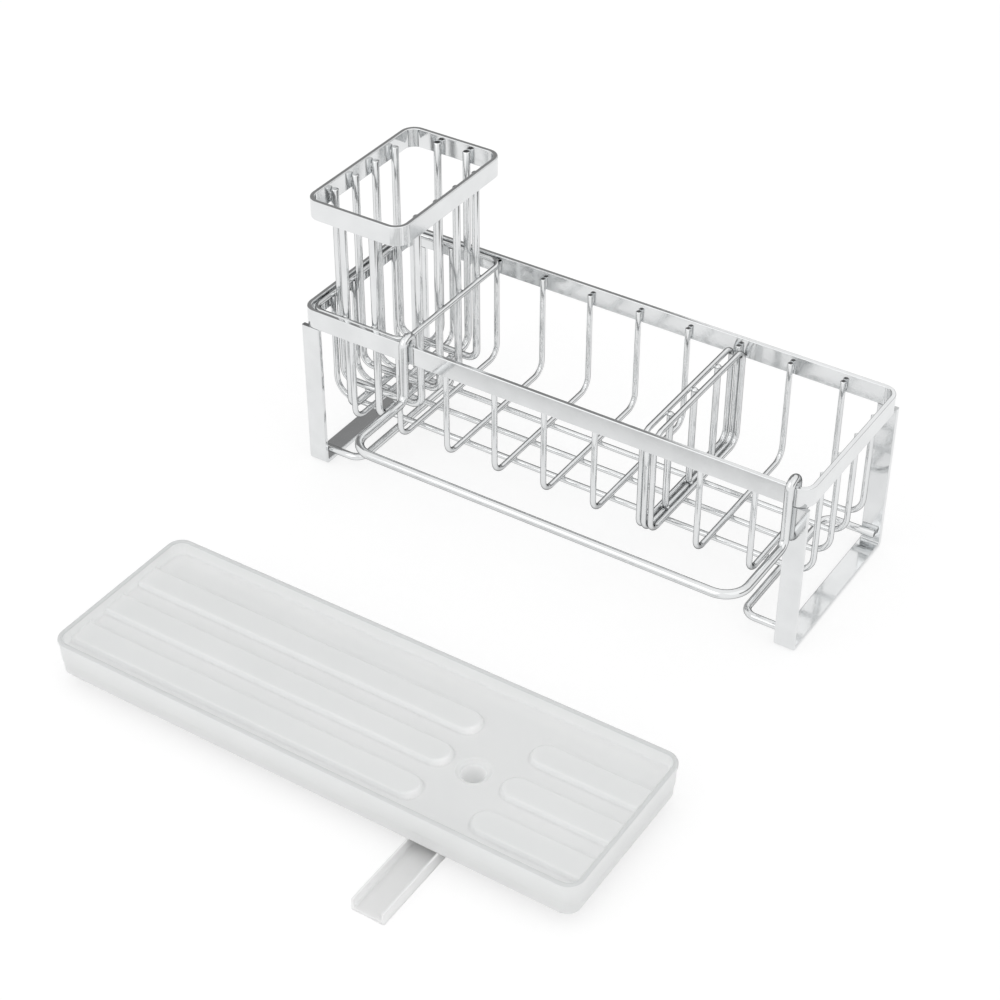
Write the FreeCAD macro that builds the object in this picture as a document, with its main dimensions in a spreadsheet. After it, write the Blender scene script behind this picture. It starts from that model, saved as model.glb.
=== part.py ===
"""Kitchen sink caddy: a chrome wire rack with a lift-out utensil holder, a lift-out divider,
a hook-on towel bar and a drip tray with a swivelling drain spout.

Millimetres, +Z up. The origin is the middle of the whole set's footprint on the worktop:
the rack stands at the back and the drip tray stands in front of it.
"""
import os
import re

import FreeCAD
import Part
import Sketcher

# Every size that can be set by itself, grouped by the piece that carries it.
SIZES = {
    # Rim: a flat band on edge, bent into a rounded rectangle.
    "rim_length": 350.0,
    "rim_depth": 120.0,
    "rim_top": 117.0,
    "rim_height": 13.0,
    "rim_band": 3.0,
    "rim_corner": 10.0,
    # Legs: two flat strips bent into a U under the ends of the rim.
    "leg_width": 13.0,
    "leg_strip": 3.0,
    "leg_bend": 4.0,
    # Tray rails: thick wire staples between the posts of each leg.
    "rail_wire": 4.8,
    "rail_height": 10.6,
    "rail_reach": 23.5,
    "rail_bend": 8.0,
    "rail_end_inset": 3.0,
    # Basket wires: cross wires and, under them, the long floor wires.
    "basket_wire": 3.6,
    "wire_end_drop": 4.5,
    "floor_height": 42.1,
    "cross_bend": 9.0,
    "floor_bend": 13.0,
    # Utensil holder: a top band, a seat ring and bent wires.
    "holder_width": 71.0,
    "holder_top": 193.0,
    "holder_band": 3.0,
    "holder_band_height": 13.0,
    "holder_corner": 10.0,
    "holder_wire": 4.8,
    "ring_wire": 3.6,
    "holder_end_drop": 3.5,
    "holder_bend": 8.0,
    "holder_side_pitch": 21.0,
    "holder_end_pitch": 21.8,
    # Divider: two closed wire frames with upright bars welded between them.
    "divider_wire": 3.6,
    "divider_drop": 3.5,
    "divider_bend": 8.0,
    "divider_bar_pitch": 29.0,
    # Towel bar: thick wire with two hooks over the front of the rim.
    "towel_wire": 5.5,
    "towel_drop": 39.0,
    "towel_reach": 57.5,
    "towel_knee": 6.0,
    "towel_corner": 15.0,
    "towel_end_drop": 6.0,
    "towel_right_inset": 11.0,
    "towel_arm_joint": 20.0,
    # Drip tray: a shallow tray with a skirt, raised ribs and a drain.
    "tray_length": 347.0,
    "tray_corner": 10.0,
    "tray_draft": 0.8,
    "tray_lip": 3.0,
    "tray_wall": 2.2,
    "tray_floor": 2.2,
    "well_depth": 9.2,
    "rib_height": 3.0,
    "rib_width": 17.0,
    "rib_gap": 12.0,
    "pool_left": 15.0,
    "pool_right": 19.0,
    "drain_bore": 7.0,
    "drain_wall": 1.5,
    "drain_dish": 2.5,
    "drain_dish_depth": 1.4,
    "drain_gap": 3.2,
    "drain_inset": 93.6,
    "drain_forward": 5.8,
    # Drain spout: an open channel with a collar round the drain.
    "spout_height": 8.3,
    "spout_wall": 1.5,
    "spout_floor": 2.0,
    "spout_reach": 98.0,
    "collar_gap": 2.4,
    # Where the tray stands in front of the rack.
    "tray_distance": 137.7,
    "tray_shift": 5.1,
    # Clearances.
    "seat_clearance": 0.5,
    "rest_clearance": 0.3,
    "divider_clearance": 1.0,
    "straddle_clearance": 0.3,
    "hook_clearance": 0.3,
    "hook_gap": 1.15,
    "tray_side_clearance": 0.5,
    "tray_headroom": 0.7,
    "swivel_clearance": 0.05,
    "channel_clearance": 0.25,
    "cut_overrun": 5.0,
}

CROSS_WIRE_COUNT = 9
FLOOR_WIRE_COUNT = 4
HOLDER_SIDE_COUNT = 4
HOLDER_END_COUNT = 2
DIVIDER_BAR_COUNT = 3
TRAY_RIB_COUNT = 3
# Steps from the middle cross wire to the one on its right that the divider rides over.
DIVIDER_STEP_COUNT = 2
# Share of a half width that the rounded end of a rib or of the spout takes up.
ROUND_END_SHARE = 0.96

# Sizes and places that follow from the ones above, as formulas of the same sheet.
FORMULAS = {
    "rim_bottom": "rim_top - rim_height",
    "wire_end": "rim_top - wire_end_drop",
    "wire_pitch": f"rim_length / {CROSS_WIRE_COUNT + 1}",
    "cross_leg": "rim_depth / 2 - rim_band - basket_wire / 2",
    "floor_pitch": f"2 * cross_leg / {FLOOR_WIRE_COUNT + 1}",
    "cross_fall": "wire_end - floor_height",
    "floor_axis": "floor_height - basket_wire",
    "floor_leg": "rim_length / 2 - rim_band - basket_wire / 2",
    "floor_fall": "wire_end - floor_axis",
    "rail_start": "rim_length / 2 - rail_end_inset",
    "rail_run": "rail_start - rim_length / 2 + leg_width + rail_reach",
    "rail_side": "rim_depth / 2 - leg_strip - rail_wire / 2",
    # Distance from the rim's inner face to the outer side of the holder's uprights.
    "holder_inset": "seat_clearance + max(basket_wire; ring_wire)",
    "holder_inner_depth": "rim_depth - 2 * rim_band - 2 * holder_inset",
    "holder_inner_width": "holder_width - 2 * holder_band",
    "holder_x": "-rim_length / 2 + rim_band + holder_inset + holder_inner_width / 2",
    "holder_right": "holder_x + holder_inner_width / 2 + max(holder_band; ring_wire)",
    "holder_end": "holder_top - holder_end_drop",
    "holder_ring_axis": "wire_end + rest_clearance + ring_wire / 2",
    "holder_low_axis": "floor_height + basket_wire / 2 + rest_clearance + holder_wire / 2",
    "holder_high_axis": "holder_low_axis + holder_wire",
    "divider_x": f"{DIVIDER_STEP_COUNT} * wire_pitch",
    # The bars keep the frames apart, so that the divider straddles a cross wire.
    "divider_bar": "basket_wire + 2 * straddle_clearance",
    "divider_offset": "divider_bar / 2 + divider_wire / 2",
    "divider_side": "rim_depth / 2 - rim_band - divider_clearance - divider_wire / 2",
    "divider_high_axis": "rim_top - divider_drop - divider_wire / 2",
    "divider_low_axis": "floor_axis + basket_wire / 2 + rest_clearance + divider_wire / 2",
    "divider_bar_low": "floor_height + basket_wire / 2 + rest_clearance",
    "divider_bar_high": "divider_high_axis + divider_wire / 2",
    "towel_left_x": "holder_right + hook_gap + towel_wire / 2",
    "towel_right_x": "rim_length / 2 - towel_right_inset",
    "towel_half_span": "(towel_right_x - towel_left_x) / 2",
    "towel_x": "(towel_right_x + towel_left_x) / 2",
    "towel_outer": "rim_depth / 2 + hook_clearance + towel_wire / 2",
    "towel_hook": "rim_band / 2 + hook_clearance + towel_wire / 2",
    "tray_depth": "rim_depth - 2 * leg_strip - 2 * tray_side_clearance",
    "tray_height": "floor_axis - basket_wire / 2 - rail_height - rail_wire / 2 - tray_headroom",
    "tray_bottom": "spout_height + rest_clearance",
    "tray_floor_top": "tray_height - well_depth",
    "tray_floor_under": "tray_floor_top - tray_floor",
    "tray_y": "-rim_depth / 2 - tray_distance - tray_depth / 2",
    "drain_radius": "drain_bore + drain_wall",
    "drain_x": "tray_length / 2 - drain_inset",
    "drain_length": "tray_floor_under + tray_bottom - spout_floor - drain_gap",
    "rib_pitch": "rib_width + rib_gap",
    "channel_half": "drain_radius + channel_clearance",
    "spout_half": "channel_half + spout_wall",
    "collar_rise": "rest_clearance + tray_floor_under - collar_gap",
    "set_right": "max(rim_length / 2; tray_shift + tray_length / 2)",
    "set_left": "max(rim_length / 2; tray_length / 2 - tray_shift)",
    "set_front": "-tray_y + drain_forward + spout_reach",
    "rack_x": "(set_left - set_right) / 2",
    "rack_y": "(set_front - rim_depth / 2) / 2",
}

document = FreeCAD.newDocument("sink_caddy")
sheet = document.addObject("Spreadsheet::Sheet", "Sizes")


def fill_sheet():
    """Write every size and formula into the sheet under its own alias."""
    cells = dict(SIZES)
    cells.update({alias: "=" + formula for alias, formula in FORMULAS.items()})
    for row, (alias, content) in enumerate(cells.items(), start=1):
        sheet.set(f"A{row}", alias)
        sheet.set(f"B{row}", str(content))
        sheet.setAlias(f"B{row}", alias)
    document.recompute()


def number(formula):
    """Return what a formula of sheet aliases comes to."""
    return float(sheet.evalExpression(formula))


def bind(item, path, formula):
    """Bind a property of an object to a formula of sheet aliases."""
    aliases = SIZES.keys() | FORMULAS.keys()

    def in_sheet(match):
        word = match.group()
        return f"Sizes.{word}" if word in aliases else word

    item.setExpression(path, re.sub(r"[a-z_]\w*", in_sheet, formula))


def place(item, x, y, z):
    """Bind an object's place, given from the middle of the rack's own footprint."""
    bind(item, "Placement.Base.x", f"rack_x + ({x})")
    bind(item, "Placement.Base.y", f"rack_y + ({y})")
    bind(item, "Placement.Base.z", z)


def origin_plane(body, role):
    """Return one of the body's own origin planes."""
    return next(item for item in body.Origin.OriginFeatures if item.Role == role)


def new_body(name):
    """Start a sub-part."""
    body = document.addObject("PartDesign::Body", name)
    body.Label = name
    return body


def new_sketch(body, name, role, offset=None):
    """Start a sketch on an origin plane of the body, lifted off it by a formula."""
    sketch = body.newObject("Sketcher::SketchObject", f"{body.Label}_{name}")
    sketch.AttachmentSupport = [(origin_plane(body, role), "")]
    sketch.MapMode = "FlatFace"
    if offset:
        bind(sketch, "AttachmentOffset.Base.z", offset)
    return sketch


def add_sized(sketch, kind, items, formula):
    """Add a constraint whose value is bound to a formula."""
    index = sketch.addConstraint(Sketcher.Constraint(kind, *items, number(formula)))
    name = f"{kind}_{index}"
    sketch.renameConstraint(index, name)
    bind(sketch, f"Constraints.{name}", formula)


def fix_coordinate(sketch, axis, item, end, formula):
    """Hold one coordinate of a line's end at a formula's value, on either side of the axis."""
    origin = (-1, 1)
    across = {"X": -2, "Y": -1}[axis]
    size = number(formula)
    if size == 0:
        sketch.addConstraint(Sketcher.Constraint("PointOnObject", item, end, across))
    elif size > 0:
        add_sized(sketch, f"Distance{axis}", (*origin, item, end), formula)
    else:
        add_sized(sketch, f"Distance{axis}", (item, end, *origin), f"-({formula})")


def corner_arc(before, corner, after, radius):
    """Return a square corner's rounding as an arc, and which of its ends comes first."""
    arrive = (corner - before).normalize()
    leave = (after - corner).normalize()
    centre = corner - arrive * radius + leave * radius
    circle = Part.Circle(centre, FreeCAD.Vector(0, 0, 1), radius)
    first = circle.parameter(corner - arrive * radius)
    last = circle.parameter(corner + leave * radius)
    if arrive.cross(leave).z > 0:
        return Part.ArcOfCircle(circle, first, last), (1, 2)
    return Part.ArcOfCircle(circle, last, first), (2, 1)


def draw_outline(sketch, corners, closed=True):
    """Draw square-cornered straight runs with rounded or sharp corners, and constrain them.

    Each corner is two formulas, and a third for its rounding where it isn't sharp.
    """
    points = [FreeCAD.Vector(number(corner[0]), number(corner[1]), 0) for corner in corners]
    runs = len(points) if closed else len(points) - 1
    rounded = [len(corner) > 2 for corner in corners]

    def trimmed(index, other):
        point = points[index % len(points)]
        if not rounded[index % len(points)]:
            return point
        toward = (points[other % len(points)] - point).normalize()
        return point + toward * number(corners[index % len(points)][2])

    lines = []
    for index in range(runs):
        start = trimmed(index, index + 1)
        finish = trimmed(index + 1, index)
        lines.append(sketch.addGeometry(Part.LineSegment(start, finish)))
        level = abs(finish.x - start.x) > abs(finish.y - start.y)
        sketch.addConstraint(Sketcher.Constraint("Horizontal" if level else "Vertical", lines[-1]))
        axis = "Y" if level else "X"
        fix_coordinate(sketch, axis, lines[-1], 1, corners[index][1 if level else 0])
        if not closed and index == 0:
            fix_coordinate(sketch, "X" if level else "Y", lines[-1], 1, corners[0][0 if level else 1])
        if not closed and index == runs - 1:
            fix_coordinate(sketch, "X" if level else "Y", lines[-1], 2, corners[-1][0 if level else 1])
    for index in range(0 if closed else 1, runs):
        arriving, leaving = lines[index - 1], lines[index]
        if not rounded[index]:
            sketch.addConstraint(Sketcher.Constraint("Coincident", arriving, 2, leaving, 1))
            continue
        after = points[(index + 1) % len(points)]
        shape, ends = corner_arc(points[index - 1], points[index], after, number(corners[index][2]))
        arc = sketch.addGeometry(shape)
        sketch.addConstraint(Sketcher.Constraint("Tangent", arriving, 2, arc, ends[0]))
        sketch.addConstraint(Sketcher.Constraint("Tangent", arc, ends[1], leaving, 1))
        add_sized(sketch, "Radius", (arc,), corners[index][2])


def draw_rectangle(sketch, length, width, corner):
    """Draw a rounded rectangle about the sketch's origin."""
    right, back = f"({length}) / 2", f"({width}) / 2"
    left, front = f"-{right}", f"-{back}"
    draw_outline(sketch, [(left, front, corner), (right, front, corner),
                          (right, back, corner), (left, back, corner)])


def draw_circle(sketch, radius, x="0", y="0"):
    """Draw a circle of a bound radius about a bound centre."""
    centre = FreeCAD.Vector(number(x), number(y), 0)
    circle = sketch.addGeometry(Part.Circle(centre, FreeCAD.Vector(0, 0, 1), number(radius)))
    fix_coordinate(sketch, "X", circle, 3, x)
    fix_coordinate(sketch, "Y", circle, 3, y)
    add_sized(sketch, "Radius", (circle,), radius)


def add_pad(body, sketch, length, reverse=False):
    """Raise a sketch into a solid."""
    pad = body.newObject("PartDesign::Pad", f"{sketch.Name}_pad")
    pad.Profile = sketch
    pad.Reversed = reverse
    bind(pad, "Length", length)
    return pad


def add_pocket(body, sketch, length, reverse=False):
    """Cut a sketch into the body and make sure that it took material away."""
    document.recompute()
    before = body.Shape.Volume
    pocket = body.newObject("PartDesign::Pocket", f"{sketch.Name}_pocket")
    pocket.Profile = sketch
    pocket.Reversed = reverse
    bind(pocket, "Length", length)
    document.recompute()
    if body.Shape.Volume >= before:
        raise RuntimeError(f"{pocket.Name} cuts nothing")
    return pocket


def add_pipe(body, profile, path):
    """Sweep a sketch along another one."""
    pipe = body.newObject("PartDesign::AdditivePipe", f"{path.Name}_pipe")
    pipe.Profile = profile
    pipe.Spine = (path, [])
    return pipe


def add_mirror(body, feature, role):
    """Mirror a feature in one of the body's origin planes."""
    mirror = body.newObject("PartDesign::Mirrored", f"{feature.Name}_mirror")
    mirror.Originals = [feature]
    mirror.MirrorPlane = (origin_plane(body, role), [""])
    body.Tip = mirror


def bent_wire(name, wire, path_role, profile_role, corners):
    """Make a round wire that starts at the body's origin and bends through the corners."""
    body = new_body(name)
    path = new_sketch(body, "path", path_role)
    draw_outline(path, corners, closed=False)
    profile = new_sketch(body, "section", profile_role)
    draw_circle(profile, f"{wire} / 2")
    add_pipe(body, profile, path)
    return body


def upright_wire(name, wire, path_role, span, fall, bend):
    """Make a wire with two upright ends: down, across and up again."""
    corners = [("0", "0"), ("0", f"-({fall})", bend), (span, f"-({fall})", bend), (span, "0")]
    return bent_wire(name, wire, path_role, "XY_Plane", corners)


def flat_band(name, length, depth, band, height, corner):
    """Make a flat band on edge, bent into a rounded rectangle. The size given is the outer one."""
    body = new_body(name)
    sketch = new_sketch(body, "outline", "XY_Plane")
    draw_rectangle(sketch, length, depth, corner)
    draw_rectangle(sketch, f"{length} - 2 * {band}", f"{depth} - 2 * {band}", f"{corner} - {band}")
    add_pad(body, sketch, height)
    return body


def spread(count):
    """Return steps about the middle of a row, such as -1, 0 and 1."""
    return [index - (count - 1) / 2 for index in range(count)]


def build_rim():
    """Rim band of the basket."""
    rim = flat_band("basket_rim", "rim_length", "rim_depth", "rim_band", "rim_height", "rim_corner")
    place(rim, "0", "0", "rim_bottom")


def build_legs():
    """Two strips, each bent into a U whose posts meet the underside of the rim."""
    side, inner = "rim_depth / 2", "(rim_depth / 2 - leg_strip)"
    outer_bend, inner_bend = "leg_bend", "leg_bend - leg_strip"
    for name, x in (("left_leg", "-rim_length / 2"), ("right_leg", "rim_length / 2 - leg_width")):
        body = new_body(name)
        sketch = new_sketch(body, "outline", "YZ_Plane")
        draw_outline(sketch, [
            (f"-{side}", "rim_bottom"), (f"-{side}", "0", outer_bend), (side, "0", outer_bend),
            (side, "rim_bottom"), (inner, "rim_bottom"), (inner, "leg_strip", inner_bend),
            (f"-{inner}", "leg_strip", inner_bend), (f"-{inner}", "rim_bottom")])
        add_pad(body, sketch, "leg_width")
        place(body, x, "0", "0")


def build_rails():
    """Thick wire staples that carry the tray, welded to the inner faces of the posts."""
    for name, sign, x in (("left_tray_rail", "", "-rail_start"), ("right_tray_rail", "-", "rail_start")):
        reach = f"{sign}rail_run"
        corners = [("0", "0"), (reach, "0", "rail_bend"), (reach, "2 * rail_side", "rail_bend"),
                   ("0", "2 * rail_side")]
        rail = bent_wire(name, "rail_wire", "XY_Plane", "YZ_Plane", corners)
        place(rail, x, "-rail_side", "rail_height")


def build_basket_wires():
    """Cross wires, welded inside the rim, and long floor wires under them."""
    for index, step in enumerate(spread(CROSS_WIRE_COUNT), start=1):
        wire = upright_wire(f"cross_wire_{index}", "basket_wire", "YZ_Plane",
                            "2 * cross_leg", "cross_fall", "cross_bend")
        place(wire, f"{step} * wire_pitch", "-cross_leg", "wire_end")
    for index, step in enumerate(spread(FLOOR_WIRE_COUNT), start=1):
        wire = upright_wire(f"floor_wire_{index}", "basket_wire", "XZ_Plane",
                            "2 * floor_leg", "floor_fall", "floor_bend")
        place(wire, "-floor_leg", f"{step} * floor_pitch", "wire_end")


def build_utensil_holder():
    """Tall lift-out holder: band, seat ring on the ends of the basket wires, bent wires inside."""
    band = flat_band("utensil_band", "(holder_inner_width + 2 * holder_band)",
                     "(holder_inner_depth + 2 * holder_band)", "holder_band", "holder_band_height",
                     "holder_corner")
    place(band, "holder_x", "0", "holder_top - holder_band_height")

    ring = new_body("utensil_ring")
    across = "(holder_inner_width / 2 + ring_wire / 2)"
    along = "(holder_inner_depth / 2 + ring_wire / 2)"
    bend = "holder_corner - ring_wire / 2"
    path = new_sketch(ring, "path", "XY_Plane")
    draw_outline(path, [("0", f"-{along}"), (across, f"-{along}", bend), (across, along, bend), ("0", along)],
                 closed=False)
    profile = new_sketch(ring, "section", "YZ_Plane")
    draw_circle(profile, "ring_wire / 2", f"-{along}")
    add_mirror(ring, add_pipe(ring, profile, path), "YZ_Plane")
    place(ring, "holder_x", "0", "holder_ring_axis")

    for index, step in enumerate(spread(HOLDER_SIDE_COUNT), start=1):
        wire = upright_wire(f"utensil_side_wire_{index}", "holder_wire", "XZ_Plane",
                            "holder_inner_width - holder_wire", "holder_end - holder_high_axis",
                            "holder_bend")
        place(wire, "holder_x - holder_inner_width / 2 + holder_wire / 2",
              f"{step} * holder_side_pitch", "holder_end")
    for index, step in enumerate(spread(HOLDER_END_COUNT), start=1):
        wire = upright_wire(f"utensil_end_wire_{index}", "holder_wire", "YZ_Plane",
                            "holder_inner_depth - holder_wire", "holder_end - holder_low_axis",
                            "holder_bend")
        place(wire, f"holder_x + {step} * holder_end_pitch",
              "-holder_inner_depth / 2 + holder_wire / 2", "holder_end")


def build_divider():
    """Lift-out divider that straddles a cross wire: two closed frames and the bars between them."""
    rise = "(divider_high_axis - divider_low_axis)"
    for name, sign in (("divider_frame_left", "-"), ("divider_frame_right", "+")):
        frame = new_body(name)
        path = new_sketch(frame, "path", "YZ_Plane")
        draw_outline(path, [("0", "0"), ("divider_side", "0", "divider_bend"),
                            ("divider_side", rise, "divider_bend"), ("0", rise)], closed=False)
        profile = new_sketch(frame, "section", "XZ_Plane")
        draw_circle(profile, "divider_wire / 2")
        add_mirror(frame, add_pipe(frame, profile, path), "XZ_Plane")
        place(frame, f"divider_x {sign} divider_offset", "0", "divider_low_axis")
    for index, step in enumerate(spread(DIVIDER_BAR_COUNT), start=1):
        bar = document.addObject("Part::Cylinder", f"divider_bar_{index}")
        bind(bar, "Radius", "divider_bar / 2")
        bind(bar, "Height", "divider_bar_high - divider_bar_low")
        place(bar, "divider_x", f"{step} * divider_bar_pitch", "divider_bar_low")


def build_towel_bar():
    """Hook-on towel bar, one bent wire: two hooks over the rim, two arms and the front rail."""
    bar = new_body("towel_bar")
    section = new_sketch(bar, "section", "XZ_Plane")
    draw_circle(section, "towel_wire / 2", "-towel_half_span")

    front = "-(towel_reach - towel_arm_joint)"
    rail = new_sketch(bar, "rail", "XY_Plane")
    draw_outline(rail, [("-towel_half_span", "0"), ("-towel_half_span", front, "towel_corner"),
                        ("towel_half_span", front, "towel_corner"), ("towel_half_span", "0")], closed=False)
    add_pipe(bar, section, rail)

    crown = "towel_drop + towel_hook"
    inner = "towel_arm_joint + 2 * towel_hook"
    turn = f"towel_hook * {ROUND_END_SHARE}"
    hook = new_sketch(bar, "hook", "YZ_Plane", "-towel_half_span")
    draw_outline(hook, [("0", "0"), ("towel_arm_joint", "0", "towel_knee"),
                        ("towel_arm_joint", crown, turn), (inner, crown, turn),
                        (inner, "towel_drop - towel_end_drop")], closed=False)
    add_mirror(bar, add_pipe(bar, section, hook), "YZ_Plane")
    place(bar, "towel_x", "-towel_outer - towel_arm_joint", "rim_top - towel_drop")


def draw_rib(sketch, square_end, round_end, step):
    """Draw a rib from a wall of the tray to its rounded end beside the drain."""
    near = f"{step} * rib_pitch - drain_forward - rib_width / 2"
    far = f"{step} * rib_pitch - drain_forward + rib_width / 2"
    turn = f"rib_width / 2 * {ROUND_END_SHARE}"
    draw_outline(sketch, [(square_end, near), (round_end, near, turn), (round_end, far, turn), (square_end, far)])


def build_tray():
    """Drip tray: drafted shell with a well above, a hollow skirt below, ribs and a drain."""
    tray = new_body("drip_tray")
    base = new_sketch(tray, "base", "XY_Plane")
    base_length, base_depth = "(tray_length - 2 * tray_draft)", "(tray_depth - 2 * tray_draft)"
    draw_rectangle(base, base_length, base_depth, "tray_corner - tray_draft")
    brim = new_sketch(tray, "brim", "XY_Plane", "tray_height")
    draw_rectangle(brim, "tray_length", "tray_depth", "tray_corner")
    shell = tray.newObject("PartDesign::AdditiveLoft", "drip_tray_shell")
    shell.Profile = base
    shell.Sections = [brim]
    shell.Ruled = True

    well = new_sketch(tray, "well", "XY_Plane", "tray_height")
    draw_rectangle(well, "tray_length - 2 * tray_lip", "tray_depth - 2 * tray_lip", "tray_corner - tray_lip")
    add_pocket(tray, well, "well_depth")
    skirt = new_sketch(tray, "skirt", "XY_Plane")
    draw_rectangle(skirt, f"{base_length} - 2 * tray_wall", f"{base_depth} - 2 * tray_wall",
                   "tray_corner - tray_draft - tray_wall")
    add_pocket(tray, skirt, "tray_floor_under", reverse=True)

    ribs = new_sketch(tray, "ribs", "XY_Plane", "tray_floor_top")
    wall = "(tray_length / 2 - tray_lip / 2)"
    for step in spread(TRAY_RIB_COUNT):
        draw_rib(ribs, f"-{wall}", "drain_x - pool_left", step)
        draw_rib(ribs, wall, "drain_x + pool_right", step)
    add_pad(tray, ribs, "rib_height")

    spigot = new_sketch(tray, "spigot", "XY_Plane", "tray_floor_under")
    draw_circle(spigot, "drain_radius", "drain_x", "-drain_forward")
    add_pad(tray, spigot, "drain_length", reverse=True)
    bore = new_sketch(tray, "bore", "XY_Plane", "tray_floor_top")
    draw_circle(bore, "drain_bore", "drain_x", "-drain_forward")
    add_pocket(tray, bore, "tray_floor + drain_length + cut_overrun")
    dish = tray.newObject("PartDesign::SubtractiveCone", "drip_tray_dish")
    bind(dish, "Radius1", "drain_bore")
    bind(dish, "Radius2", "drain_bore + drain_dish")
    bind(dish, "Height", "drain_dish_depth")
    bind(dish, "Placement.Base.x", "drain_x")
    bind(dish, "Placement.Base.y", "-drain_forward")
    bind(dish, "Placement.Base.z", "tray_floor_top - drain_dish_depth")
    place(tray, "tray_shift", "tray_y", "tray_bottom")


def build_spout():
    """Drain spout: open channel and the collar that turns on the tray's drain."""
    spout = new_body("drain_spout")
    outside = new_sketch(spout, "outside", "XY_Plane")
    outer_turn = f"spout_half * {ROUND_END_SHARE}"
    draw_outline(outside, [("-spout_half", "-spout_reach"), ("spout_half", "-spout_reach"),
                           ("spout_half", "spout_half", outer_turn), ("-spout_half", "spout_half", outer_turn)])
    add_pad(spout, outside, "spout_height")
    channel = new_sketch(spout, "channel", "XY_Plane", "spout_height")
    mouth = "-(spout_reach + cut_overrun)"
    inner_turn = f"channel_half * {ROUND_END_SHARE}"
    draw_outline(channel, [("-channel_half", mouth), ("channel_half", mouth),
                           ("channel_half", "channel_half", inner_turn),
                           ("-channel_half", "channel_half", inner_turn)])
    add_pocket(spout, channel, "spout_height - spout_floor")
    collar = new_sketch(spout, "collar", "XY_Plane", "spout_height")
    draw_circle(collar, "spout_half")
    draw_circle(collar, "drain_radius + swivel_clearance")
    add_pad(spout, collar, "collar_rise")
    place(spout, "tray_shift + drain_x", "tray_y - drain_forward", "0")


def sub_parts():
    """Return the objects that are sub-parts: the bodies and the plain cylinders."""
    kinds = ("PartDesign::Body", "Part::Cylinder")
    return [item for item in document.Objects if item.TypeId in kinds]


def check():
    """Stop if any object failed or any sub-part isn't one valid solid."""
    for item in document.Objects:
        if "Invalid" in item.State or "Error" in item.State:
            raise RuntimeError(f"{item.Label} failed: {item.State}")
    for item in sub_parts():
        if item.Shape.isNull() or not item.Shape.isValid() or len(item.Shape.Solids) != 1:
            raise RuntimeError(f"{item.Label} is not one valid solid")


def write():
    """Write each sub-part to the file that its label names."""
    os.makedirs("parts", exist_ok=True)
    for item in sub_parts():
        item.Shape.exportStep(os.path.join("parts", f"{item.Label}.step"))


def main():
    """Build every sub-part, check it and write it."""
    fill_sheet()
    build_rim()
    build_legs()
    build_rails()
    build_basket_wires()
    build_utensil_holder()
    build_divider()
    build_towel_bar()
    build_tray()
    build_spout()
    document.recompute()
    check()
    write()


main()
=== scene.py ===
"""Kitchen sink caddy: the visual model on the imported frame, and the plain studio round it.

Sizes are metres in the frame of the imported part: +X along the rack to the right, +Y from the
drip tray in front to the rack behind it, +Z up.
"""
import logging
import math
from dataclasses import dataclass, field
from enum import Enum
from typing import Iterator, Sequence

import bmesh
import bpy
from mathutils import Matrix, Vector


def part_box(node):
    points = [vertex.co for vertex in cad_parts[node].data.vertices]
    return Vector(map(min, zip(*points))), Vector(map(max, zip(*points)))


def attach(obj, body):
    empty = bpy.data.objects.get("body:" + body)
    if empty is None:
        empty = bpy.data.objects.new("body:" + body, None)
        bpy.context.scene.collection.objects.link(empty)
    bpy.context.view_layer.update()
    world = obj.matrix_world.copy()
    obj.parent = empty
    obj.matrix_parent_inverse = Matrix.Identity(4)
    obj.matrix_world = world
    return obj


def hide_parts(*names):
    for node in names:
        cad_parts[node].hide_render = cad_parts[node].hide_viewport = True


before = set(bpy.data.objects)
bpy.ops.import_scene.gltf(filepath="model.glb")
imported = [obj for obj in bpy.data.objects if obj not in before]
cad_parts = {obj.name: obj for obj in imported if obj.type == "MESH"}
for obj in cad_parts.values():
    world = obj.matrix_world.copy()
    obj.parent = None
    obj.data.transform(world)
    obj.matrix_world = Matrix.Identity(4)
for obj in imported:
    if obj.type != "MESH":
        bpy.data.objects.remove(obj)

LOG = logging.getLogger("sink_caddy")
# Share of a step that rounding may add to a span without one more split.
SPLIT_SLACK = 0.001

Loop = list[bmesh.types.BMVert]
Profile = list[tuple[float, float]]
Colour = tuple[float, float, float]
Feeds = dict[str, object]


class Slot(Enum):
    """Material slots of the part."""

    CHROME = "chrome"
    TRAY = "tray_plastic"
    SPOUT = "spout_plastic"


class Axis(Enum):
    """Axes of the shared frame, by their place in a vector."""

    X = 0
    Y = 1
    Z = 2


class Section(Enum):
    """What is swept along a path."""

    ROUND = "wire_row"
    FLAT = "strip_row"


class WireEnd(Enum):
    """How the two ends of a path are finished."""

    CLOSED = "closed loop"
    SQUARE = "cut square"
    SHEARED = "cut square with a broken edge"
    DOMED = "rounded over"


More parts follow.
